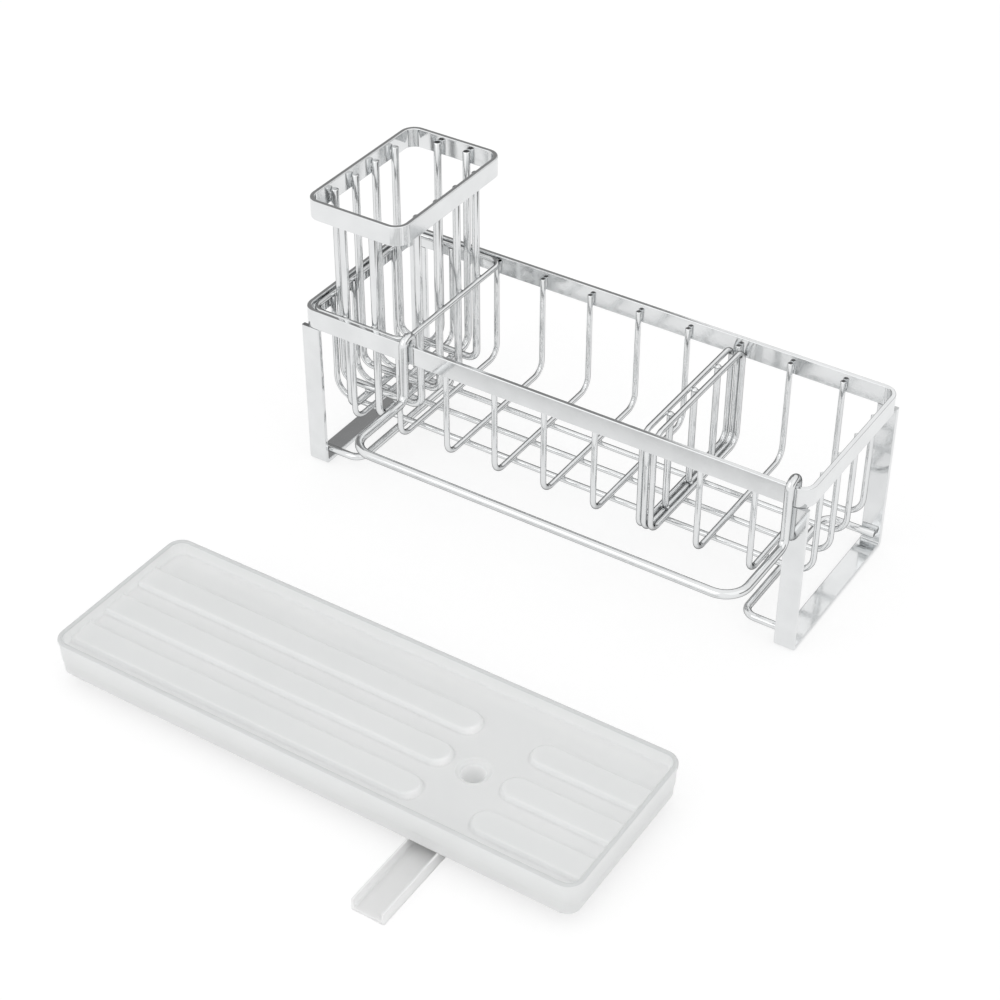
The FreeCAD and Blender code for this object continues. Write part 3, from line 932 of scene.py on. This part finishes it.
    def rib_level(self, x: float, y: float) -> float:
        """Return how far the ribs rise above the floor at a place.

        Args:
            x: Place along X from the tray's middle.
            y: Place along Y from the tray's middle.

        Returns:
            The rise at that place.
        """
        round_end = self.rib_width / 2
        left_end = self.drain.x - self.pool_left - round_end
        right_end = self.drain.x + self.pool_right + round_end
        past = 0.0
        if left_end < x < right_end:
            past = min(x - left_end, right_end - x)
        level = 0.0
        for step in self.RIB_ROWS:
            across = y - self.drain.y - step * self.rib_pitch
            inside = round_end - math.hypot(past, across)
            share = min(1.0, max(0.0, (inside + self.rib_edge) / (2 * self.rib_edge)))
            # The rise starts and ends level.
            level = max(level, self.rib_height * share * share * (3.0 - 2.0 * share))
        return level

    def rib_gleam(self, x: float, y: float) -> float:
        """Return how much of the painted highlight on the rounded tips of the long ribs a place takes.

        Args:
            x: Place along X from the tray's middle.
            y: Place along Y from the tray's middle.

        Returns:
            A share from 0 to 1.
        """
        round_end = self.rib_width / 2
        past = x - (self.drain.x - self.pool_left - round_end)
        share = 0.0
        for step in self.RIB_ROWS:
            away = Vector((past, y - self.drain.y - step * self.rib_pitch))
            depth = round_end - away.length
            if past > 0.0 and -self.rib_edge < depth < self.gleam_depth:
                turn = max(0.0, away.normalized().dot(Vector(self.gleam_way).normalized()))
                fade = 1.0 - max(0.0, depth) / self.gleam_depth
                share = max(share, turn ** self.gleam_sharpness * fade)
        return share

    def floor_point(self, x: float, y: float, inset: float) -> tuple[float, float]:
        """Map a grid place onto a rounded rectangle.

        Args:
            x: Grid line along X.
            y: Grid line along Y.
            inset: Distance of the rectangle's edge from the tray's outline.

        Returns:
            The place on the floor.
        """
        grid_corner, corner = self.corner - self.floor_inset, self.corner - inset
        a = max(0.0, abs(x) - self.core.x) / grid_corner
        b = max(0.0, abs(y) - self.core.y) / grid_corner
        across, along = a * math.sqrt(1.0 - b * b / 2), b * math.sqrt(1.0 - a * a / 2)
        return (math.copysign(min(abs(x), self.core.x) + corner * across, x),
                math.copysign(min(abs(y), self.core.y) + corner * along, y))

    def build_floor(self, inset: float, level: float, ribbed: bool) -> list[Loop]:
        """Build one face of the floor as a grid that leaves the drain's square open.

        Args:
            inset: Distance of the floor's edge from the tray's outline.
            level: Height above the tray's foot.
            ribbed: Whether the ribs rise from it.

        Returns:
            The vertices by column and row.
        """
        grid = []
        for x in self.lines_x:
            column = []
            for y in self.lines_y:
                rise = self.rib_level(x, y) if ribbed else 0.0
                vertex = self.vertex(*self.floor_point(x, y, inset), level + rise)
                # Painted highlight: the rib tips are marked for a paler tone.
                vertex[self.gleam] = self.rib_gleam(x, y) if ribbed else 0.0
                column.append(vertex)
            grid.append(column)
        for i, across in enumerate(zip(self.lines_x, self.lines_x[1:])):
            for j, along in enumerate(zip(self.lines_y, self.lines_y[1:])):
                away = Vector((sum(across), sum(along))) / 2 - self.drain
                if max(abs(away.x), abs(away.y)) > self.drain_half:
                    corners = (i, j), (i + 1, j), (i + 1, j + 1), (i, j + 1)
                    self.mesh.faces.new([grid[column][row] for column, row in corners])
        return grid

    @staticmethod
    def border(grid: list[Loop], first: tuple[int, int], last: tuple[int, int]) -> Loop:
        """List the vertices round a block of a grid.

        Args:
            grid: Vertices by column and row.
            first: Lowest column and row of the block.
            last: Highest column and row of the block.

        Returns:
            The vertices in order round the block.
        """
        (i0, j0), (i1, j1) = first, last
        places = [(i, j0) for i in range(i0, i1)] + [(i1, j) for j in range(j0, j1)]
        places += [(i, j1) for i in range(i1, i0, -1)] + [(i0, j) for j in range(j1, j0, -1)]
        return [grid[i][j] for i, j in places]

    @property
    def well_top(self) -> float:
        """Return the height at which the well's wall runs into the lip."""
        return self.height - self.lip_rounding

    def well_profile(self) -> Profile:
        """List the well's wall from the floor up to the lip.

        Returns:
            Pairs of an inset from the outline and a height above the foot.
        """
        foot = [(inset, self.floor_top + rise) for inset, rise in self.WELL_RISES]
        return foot + [(self.well_inset, self.well_top)]

    def wall_profile(self) -> Profile:
        """List the wall's section from the lip down the outside to the hollow underside.

        Returns:
            Pairs of an inset from the outline and a height above the foot.
        """
        lip = [(inset, self.height - drop) for inset, drop in self.LIP_DROPS]
        skirt = [(inset, self.floor_under - drop) for inset, drop in self.SKIRT_DROPS]
        return lip + list(self.WALL_HEIGHTS) + skirt

    def drain_profile(self) -> Profile:
        """List the drain's section from the dish down the bore and up the spigot to its root.

        Returns:
            Pairs of a radius and a height above the foot.
        """
        end, edge = self.spigot_low, self.spigot_edge
        dish = [(radius, self.floor_top + rise) for radius, rise in self.DISH_RISES]
        bore = [(self.bore, self.floor_top - self.bore_top_drop), (self.bore, end + self.spigot_edge_height),
                (self.bore + edge, end)]
        spigot = [(self.spigot - edge, end), (self.spigot, end + self.spigot_edge_height)]
        root = [(self.spigot + growth, self.floor_under - drop) for growth, drop in self.ROOT_DROPS]
        return dish + bore + spigot + root

    def wall_loop(self, edge: Loop, inset: float, height: float, in_well: bool) -> Loop:
        """Add a loop of the wall.

        Args:
            edge: The floor's edge, which the loop follows.
            inset: Distance of the loop from the tray's outline.
            height: Its height above the foot.
            in_well: Whether it rises and falls with the ribs where they end.

        Returns:
            The loop's vertices.
        """
        loop = []
        for vertex in edge:
            x, y, level = vertex.co - self.place
            base = Vector((math.copysign(min(abs(x), self.core.x), x),
                           math.copysign(min(abs(y), self.core.y), y)))
            out = (Vector((x, y)) - base) / (self.corner - self.floor_inset)
            lifted = height
            if in_well:
                share = (height - self.floor_top) / (self.well_top - self.floor_top)
                lifted = level + share * (self.well_top - level)
            x, y = base + out * (self.corner - inset)
            vertex = self.vertex(x, y, lifted)
            # Painted shade: the top of the lip is marked for a darker tone.
            vertex[self.lip] = 1.0 if height > self.height - self.lip_shade_depth else 0.0
            loop.append(vertex)
        return loop

    def build_wall(self, top: list[Loop], under: list[Loop]) -> None:
        """Build the wall between the floor's upper and lower face.

        Args:
            top: Upper face of the floor.
            under: Lower face of the floor.
        """
        last = (len(self.lines_x) - 1, len(self.lines_y) - 1)
        edge = self.border(top, (0, 0), last)
        loops = [edge]
        loops += [self.wall_loop(edge, *point, in_well=True) for point in self.well_profile()]
        loops += [self.wall_loop(edge, *point, in_well=False) for point in self.wall_profile()]
        self.skin(loops + [self.border(under, (0, 0), last)])

    def build_drain(self, top: list[Loop], under: list[Loop]) -> None:
        """Build the stepped dish, the bore and the spigot in the square that the floor leaves open.

        Args:
            top: Upper face of the floor.
            under: Lower face of the floor.
        """
        first = tuple(self.nearest(lines, at - self.drain_half) for lines, at in self.drain_lines())
        last = tuple(self.nearest(lines, at + self.drain_half) for lines, at in self.drain_lines())
        square = self.border(top, first, last)
        loops = [square]
        for radius, height in self.drain_profile():
            loop = []
            for vertex in square:
                away = (vertex.co - self.place).xy - self.drain
                x, y = self.drain + away.normalized() * radius
                vertex = self.vertex(x, y, height)
                # Painted glow: the bore's wall is marked to glow faintly.
                vertex[self.painted_glow] = self.painted_glow_strength if self.in_bore(radius, height) else 0.0
                loop.append(vertex)
            loops.append(loop)
        self.skin(loops + [self.border(under, first, last)])

    def in_bore(self, radius: float, height: float) -> bool:
        """Return whether a place lies on the bore's wall, which takes a painted glow."""
        return radius <= self.bore and height <= self.floor_top - self.bore_top_drop

    def drain_lines(self) -> tuple[tuple[list[float], float], tuple[list[float], float]]:
        """Pair the grid lines of both axes with the drain's place on them."""
        return (self.lines_x, self.drain.x), (self.lines_y, self.drain.y)

    @staticmethod
    def nearest(lines: Sequence[float], place: float) -> int:
        """Return the index of the grid line nearest to a place."""
        return min(range(len(lines)), key=lambda index: abs(lines[index] - place))


@dataclass
class DrainSpout(Moulding):
    """The drain spout: an open channel with a rounded end and a collar round the drain."""

    body: str = "drain_spout"
    slot: Slot = Slot.SPOUT
    wall: float = 0.0015
    floor: float = 0.002
    height: float = 0.0083
    collar_bore: float = 0.00855
    collar_inset: float = 0.00002
    edge: float = 0.0004
    fillet: float = 0.0012
    fillet_steps: int = 4
    turn_steps: int = 32
    straight_step: float = 0.008
    front_edge: float = 0.0004
    front_edge_steps: int = 2
    merge_distance: float = 1e-6
    half: float = field(init=False)

    EDGE_TURN_SHARE = 0.3

    def build(self) -> None:
        """Build the channel and the collar as one piece."""
        low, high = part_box("drain_spout")
        self.half = (high.x - low.x) / 2
        self.place = Vector(((low.x + high.x) / 2, high.y - self.half, low.z))
        self.build_channel(low.y - self.place.y)
        self.build_collar(high.z - low.z)
        self.keep_shell("spout_channel")

    def brim(self, outer: float, inner: float, top: float) -> Profile:
        """List the section over the upper edge of a wall, from its outer to its inner face.

        Args:
            outer: Place of the outer face.
            inner: Place of the inner face.
            top: Height of the edge.

        Returns:
            Pairs of a place and a height.
        """
        edge, turn = self.edge, self.EDGE_TURN_SHARE * self.edge
        return [(outer, top - edge), (outer - turn, top - turn), (outer - edge, top),
                (inner + edge, top), (inner + turn, top - turn), (inner, top - edge)]

    def channel_profile(self) -> Profile:
        """List half of the channel's section from the middle of its foot to the middle of its floor.

        Returns:
            Pairs of a distance from the middle plane and a height.
        """
        out, edge, bend = self.half, self.edge, self.fillet
        inside, turn = out - self.wall, self.EDGE_TURN_SHARE * edge
        foot = [(0.0, 0.0), (out - edge, 0.0), (out - turn, turn), (out, edge)]
        turns = [math.pi / 2 * step / self.fillet_steps for step in range(self.fillet_steps + 1)]
        well = [(inside - bend + bend * math.cos(turn), self.floor + bend - bend * math.sin(turn))
                for turn in turns]
        return foot + self.brim(out, inside, self.height) + well + [(0.0, self.floor)]

    def build_channel(self, front: float) -> None:
        """Build the channel: a section run straight and then round its closed end.

        Args:
            front: Place of the open end along Y from the drain.
        """
        straight = split(front, 0.0, self.straight_step)
        turns = [math.pi * step / self.turn_steps for step in range(self.turn_steps + 1)]
        rows = []
        for radius, height in self.channel_profile():
            row = [(-radius, y) for y in straight]
            row += [(-radius * math.cos(turn), radius * math.sin(turn)) for turn in turns]
            row += [(radius, y) for y in reversed(straight)]
            rows.append([self.vertex(x, y, height) for x, y in row])
        self.skin(rows, closed=False)
        cap = self.mesh.faces.new([row[0] for row in rows] + [row[-1] for row in reversed(rows[1:-1])])
        bmesh.ops.remove_doubles(self.mesh, verts=self.mesh.verts, dist=self.merge_distance)
        bmesh.ops.dissolve_degenerate(self.mesh, edges=self.mesh.edges, dist=self.merge_distance)
        bmesh.ops.bevel(self.mesh, geom=list(cap.edges), offset=self.front_edge,
                        segments=self.front_edge_steps, affect="EDGES", profile=0.5)

    def build_collar(self, top: float) -> None:
        """Build the collar that stands on the channel's rounded end.

        Args:
            top: Height of the collar's upper edge.
        """
        foot = self.height - self.edge
        out, bore = self.half - self.collar_inset, self.collar_bore
        section = [(out, foot)] + self.brim(out, bore, top) + [(bore, foot)]
        count = 2 * self.turn_steps
        turns = [2 * math.pi * step / count for step in range(count)]
        loops = [[self.vertex(radius * math.cos(turn), radius * math.sin(turn), height) for turn in turns]
                 for radius, height in section]
        self.skin(loops + loops[:1])


class ShaderTree:
    """The nodes of a material or a world under construction."""

    NOISE_LOW = 0.3
    NOISE_HIGH = 0.7

    def __init__(self, owner: bpy.types.Material | bpy.types.World) -> None:
        """Start with an empty tree.

        Args:
            owner: The material or the world.
        """
        owner.use_nodes = True
        self.tree = owner.node_tree
        self.tree.nodes.clear()

    def add(self, kind: str, feeds: Feeds, **settings: object) -> bpy.types.Node:
        """Add a node whose kind is given without the prefix that shader nodes share."""
        return put_node(self.tree, f"ShaderNode{kind}", feeds, settings)

    def noise(self, scale: float, detail: float) -> bpy.types.NodeSocket:
        """Add noise in the object's own coordinates, of a scale in features to the metre."""
        place = self.add("TexCoord", {}).outputs["Object"]
        return self.add("TexNoise", {"Vector": place, "Scale": scale, "Detail": detail}).outputs[0]

    def spread(self, value: bpy.types.NodeSocket, low: float, high: float) -> bpy.types.NodeSocket:
        """Stretch a noise's usual range to between low and high."""
        return self.add("MapRange", {"Value": value, "From Min": self.NOISE_LOW,
                                     "From Max": self.NOISE_HIGH, "To Min": low,
                                     "To Max": high}).outputs[0]

    def between(self, share: bpy.types.NodeSocket, one: Colour | bpy.types.NodeSocket,
                two: Colour | bpy.types.NodeSocket) -> bpy.types.NodeSocket:
        """Mix two colours.

        Args:
            share: Share of the second colour.
            one: First colour.
            two: Second colour.

        Returns:
            The mixed colour.
        """
        first, second = [colour if isinstance(colour, bpy.types.NodeSocket) else (*colour, 1.0)
                         for colour in (one, two)]
        return self.add("Mix", {"Factor": share, "A": first, "B": second}, data_type="RGBA").outputs[2]

    def marked(self, name: str) -> bpy.types.NodeSocket:
        """Return the share that the mesh carries under a name."""
        return self.add("Attribute", {}, attribute_name=name).outputs["Fac"]

    def bump(self, strength: float, depth: float, height: bpy.types.NodeSocket) -> bpy.types.NodeSocket:
        """Return a normal that a height bends."""
        return self.add("Bump", {"Strength": strength, "Distance": depth, "Height": height}).outputs[0]

    def camera_like(self) -> bpy.types.NodeSocket:
        """Tell rays from the camera and what gloss and glass show from other light.

        Returns:
            1 for the former and 0 for the latter.
        """
        path = self.add("LightPath", {}).outputs
        seen = path["Is Camera Ray"]
        for name in ("Is Glossy Ray", "Is Transmission Ray"):
            either = self.add("Math", {}, operation="MAXIMUM")
            self.tree.links.new(seen, either.inputs[0])
            self.tree.links.new(path[name], either.inputs[1])
            seen = either.outputs[0]
        return seen


@dataclass(frozen=True)
class ChromeFinish:
    """Polished chrome plate with a faint unevenness, darker cut ends and a dimmed grazing look."""

    name: str
    light: Colour = (0.82, 0.83, 0.835)
    dark: Colour = (0.76, 0.77, 0.775)
    cut: Colour = (0.11, 0.11, 0.112)
    grazing: float = 0.10
    smoothest: float = 0.07
    roughest: float = 0.14
    ripple: float = 0.04
    ripple_depth: float = 0.0004
    cloud_scale: float = 60.0
    haze_scale: float = 240.0
    ripple_scale: float = 150.0

    def build(self) -> bpy.types.Material:
        """Build the nodes of the plate.

        Returns:
            The material.
        """
        material = bpy.data.materials.new(self.name)
        nodes = ShaderTree(material)
        cloud = nodes.spread(nodes.noise(self.cloud_scale, detail=3.0), 0.0, 1.0)
        plate = nodes.between(cloud, self.dark, self.light)
        haze = nodes.noise(self.haze_scale, detail=4.0)
        ripples = nodes.noise(self.ripple_scale, detail=2.0)
        surface = nodes.add("BsdfPrincipled", {
            "Base Color": nodes.between(nodes.marked("cut"), plate, self.cut), "Metallic": 1.0,
            "Roughness": nodes.spread(haze, self.smoothest, self.roughest),
            "Normal": nodes.bump(self.ripple, self.ripple_depth, ripples),
            "Specular Tint": (self.grazing, self.grazing, self.grazing, 1.0)}).outputs[0]
        nodes.add("OutputMaterial", {"Surface": surface})
        return material


@dataclass(frozen=True)
class FrostedPlastic:
    """Pale frosted plastic that takes in some light, with painted light in its creases, painted shade on
    its lip, a painted highlight on the rib tips and a painted glow in the bore.
    """

    name: str
    body: Colour
    cloud: Colour
    # Painted light: creases and hollows are lightened towards this colour.
    painted_crease_light: Colour
    # Painted shade along the top of the lip.
    lip: Colour = (0.66, 0.67, 0.67)
    # Colour of the painted highlight on the rib tips and of the painted glow in the bore.
    thin: Colour = (0.985, 0.99, 0.99)
    smoothest: float = 0.34
    roughest: float = 0.48
    glow: float = 0.8
    depth: float = 0.003
    reach: float = 0.012
    crease_samples: int = 8
    refraction: float = 1.49
    grain: float = 0.06
    grain_depth: float = 0.0002
    cloud_scale: float = 26.0
    haze_scale: float = 420.0
    grain_scale: float = 1500.0

    def build(self) -> bpy.types.Material:
        """Build the nodes of the plastic.

        Returns:
            The material.
        """
        material = bpy.data.materials.new(self.name)
        nodes = ShaderTree(material)
        cloud = nodes.spread(nodes.noise(self.cloud_scale, detail=3.0), 0.0, 1.0)
        tone = nodes.between(cloud, self.cloud, self.body)
        # Painted light: the more shut in a place is, the nearer its tone comes to the pale crease colour.
        open_share = nodes.add("AmbientOcclusion", {"Distance": self.reach},
                               samples=self.crease_samples).outputs["AO"]
        tone = nodes.between(open_share, self.painted_crease_light, tone)
        # Painted shade on the lip and a painted highlight on the rib tips.
        for name, colour in (("lip", self.lip), ("gleam", self.thin)):
            tone = nodes.between(nodes.marked(name), tone, colour)
        haze = nodes.noise(self.haze_scale, detail=3.0)
        grains = nodes.noise(self.grain_scale, detail=2.0)
        surface = nodes.add("BsdfPrincipled", {
            "Base Color": tone, "IOR": self.refraction,
            "Roughness": nodes.spread(haze, self.smoothest, self.roughest),
            "Normal": nodes.bump(self.grain, self.grain_depth, grains),
            # Painted glow in the bore, as strong as the mesh's marks.
            "Emission Color": (*self.thin, 1.0), "Emission Strength": nodes.marked("painted_glow"),
            "Subsurface Weight": self.glow, "Subsurface Radius": (1.0, 1.0, 1.0),
            "Subsurface Scale": self.depth}).outputs[0]
        nodes.add("OutputMaterial", {"Surface": surface})
        return material


@dataclass(frozen=True)
class Studio:
    """A pale floor, soft light, two dark cards for the chrome and the photo's camera."""

    floor_half: float = 6.0
    floor_tone: float = 0.94
    floor_share: float = 0.62
    gloss_share: float = 0.50
    floor_glow: float = 1.12
    ambient: float = 0.86
    key_power: float = 3.5
    key_size: float = 1.6
    key_place: tuple[float, float, float] = (-0.4, -1.5, 1.3)
    fill_power: float = 2.0
    fill_size: float = 2.0
    fill_place: tuple[float, float, float] = (1.5, -0.3, 1.5)
    card_distance: float = 3.0
    card_tone: float = 0.27
    card_steps: int = 12
    left_card_bearing: tuple[float, float] = (24.0, 85.0)
    left_card_rise: tuple[float, float] = (2.0, 50.0)
    back_card_bearing: tuple[float, float] = (-100.0, 24.0)
    back_card_rise: tuple[float, float] = (2.0, 22.0)
    lens: float = 77.835
    tilt: float = 52.307
    turn: float = 32.943
    eye: tuple[float, float, float] = (0.5438, -0.9423, 0.8400)

    def build(self) -> None:
        """Set up the floor, the world, the lamps, the cards and the camera."""
        self.build_floor()
        self.build_world()
        self.add_lamp("key", self.key_place, self.key_power, self.key_size)
        self.add_lamp("fill", self.fill_place, self.fill_power, self.fill_size)
        self.add_card("left_card", self.left_card_bearing, self.left_card_rise)
        self.add_card("back_card", self.back_card_bearing, self.back_card_rise)
        self.place_camera()
        bpy.context.scene.view_settings.view_transform = "Standard"

    def build_floor(self) -> bpy.types.Object:
        """Add a floor that is painted for light, and partly glows where it is seen.

        Returns:
            The floor.
        """
        half = self.floor_half
        corners = [(-half, -half, 0.0), (half, -half, 0.0), (half, half, 0.0), (-half, half, 0.0)]
        mesh = bpy.data.meshes.new("floor")
        mesh.from_pydata(corners, [], [(0, 1, 2, 3)])
        material = bpy.data.materials.new("pale_floor")
        nodes = ShaderTree(material)
        tone = (self.floor_tone, self.floor_tone, self.floor_tone, 1.0)
        paint = nodes.add("BsdfDiffuse", {"Color": tone})
        # The share of glow: none for plain light, one for what gloss shows, another for the camera.
        mirrored = nodes.add("MapRange", {"Value": nodes.camera_like(),
                                          "To Max": self.gloss_share}).outputs[0]
        seen = nodes.add("LightPath", {}).outputs["Is Camera Ray"]
        share = nodes.add("MapRange", {"Value": seen, "To Min": mirrored,
                                       "To Max": self.floor_share}).outputs[0]
        glow = nodes.add("Emission", {"Strength": self.floor_glow})
        both = nodes.add("MixShader", {"Fac": share})
        nodes.tree.links.new(paint.outputs[0], both.inputs[1])
        nodes.tree.links.new(glow.outputs[0], both.inputs[2])
        nodes.add("OutputMaterial", {"Surface": both.outputs[0]})
        mesh.materials.append(material)
        return shown("floor", mesh)

    def build_world(self) -> None:
        """Light the scene evenly from all round, with a white that is only seen."""
        world = bpy.data.worlds.new("studio")
        bpy.context.scene.world = world
        nodes = ShaderTree(world)
        level = nodes.add("MapRange", {"Value": nodes.camera_like(), "To Min": self.ambient,
                                       "To Max": 1.0}).outputs[0]
        light = nodes.add("Background", {"Color": (1.0, 1.0, 1.0, 1.0), "Strength": level})
        nodes.add("OutputWorld", {"Surface": light.outputs[0]})

    def add_lamp(self, name: str, place: Sequence[float], power: float, size: float) -> None:
        """Add a soft square lamp that faces the part.

        Args:
            name: Name of the lamp.
            place: Where it hangs.
            power: Its power in watts.
            size: Length of its sides.
        """
        lamp = bpy.data.lights.new(name, "AREA")
        lamp.energy = power
        lamp.size = size
        holder = bpy.data.objects.new(name, lamp)
        holder.location = place
        holder.rotation_euler = (-Vector(place)).to_track_quat("-Z", "Y").to_euler()
        bpy.context.scene.collection.objects.link(holder)

    def add_card(self, name: str, bearing: tuple[float, float],
                 rise: tuple[float, float]) -> bpy.types.Object:
        """Add a curved dark card that only the chrome shows.

        Args:
            name: Name of the card.
            bearing: Its two ends, in degrees from +Y towards -X.
            rise: Its lower and upper edge, in degrees above the floor.

        Returns:
            The card.
        """
        points, faces = [], []
        for index in range(self.card_steps + 1):
            turn = math.radians(bearing[0] + (bearing[1] - bearing[0]) * index / self.card_steps)
            for degrees in rise:
                lift = math.radians(degrees)
                points.append(self.card_distance * Vector((
                    -math.sin(turn) * math.cos(lift), math.cos(turn) * math.cos(lift), math.sin(lift))))
            if index:
                last = 2 * index
                faces.append((last - 2, last, last + 1, last - 1))
        mesh = bpy.data.meshes.new(name)
        mesh.from_pydata(points, [], faces)
        material = bpy.data.materials.new(name)
        nodes = ShaderTree(material)
        tone = (self.card_tone, self.card_tone, self.card_tone, 1.0)
        glow = nodes.add("Emission", {"Color": tone, "Strength": 1.0})
        nodes.add("OutputMaterial", {"Surface": glow.outputs[0]})
        mesh.materials.append(material)
        card = shown(name, mesh)
        card.visible_camera = False
        card.visible_diffuse = False
        card.visible_transmission = False
        card.visible_shadow = False
        return card

    def place_camera(self) -> None:
        """Place the camera where the photo was taken from, measured from the rack's middle."""
        target = middle("basket_rim")
        target.z = 0.0
        lens = bpy.data.cameras.new("photo_camera")
        lens.lens = self.lens
        camera = bpy.data.objects.new("photo_camera", lens)
        camera.location = target + Vector(self.eye)
        camera.rotation_euler = (math.radians(self.tilt), 0.0, math.radians(self.turn))
        bpy.context.scene.collection.objects.link(camera)
        bpy.context.scene.camera = camera


def main() -> None:
    """Build the sub-assemblies in order, then the studio."""
    logging.basicConfig(level=logging.INFO, format="%(message)s")
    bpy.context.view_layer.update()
    trees = Trees(sweep_tree(Section.ROUND), sweep_tree(Section.FLAT), weld_tree())
    wire_chrome = ChromeFinish("wire_chrome").build()
    band_chrome = ChromeFinish("band_chrome", grazing=1.0).build()
    frosted = FrostedPlastic("frosted_tray", body=(0.826, 0.834, 0.832), cloud=(0.810, 0.820, 0.818),
                             painted_crease_light=(0.980, 0.983, 0.982)).build()
    smoky = FrostedPlastic("frosted_spout", body=(0.840, 0.843, 0.840), cloud=(0.82, 0.823, 0.82),
                           painted_crease_light=(0.97, 0.972, 0.972)).build()
    assemblies: list[SubAssembly] = [
        Rack(trees, wire_chrome, band_chrome), UtensilHolder(trees, wire_chrome, band_chrome),
        Divider(trees, wire_chrome), TowelBar(trees, wire_chrome), DripTray(trees, frosted),
        DrainSpout(trees, smoky)]
    for assembly in assemblies:
        assembly.build()
        for piece in assembly.pieces:
            LOG.info("%s: %s, %d faces", assembly.body, piece.name, len(piece.data.polygons))
    Studio().build()


if __name__ == "__main__":
    main()
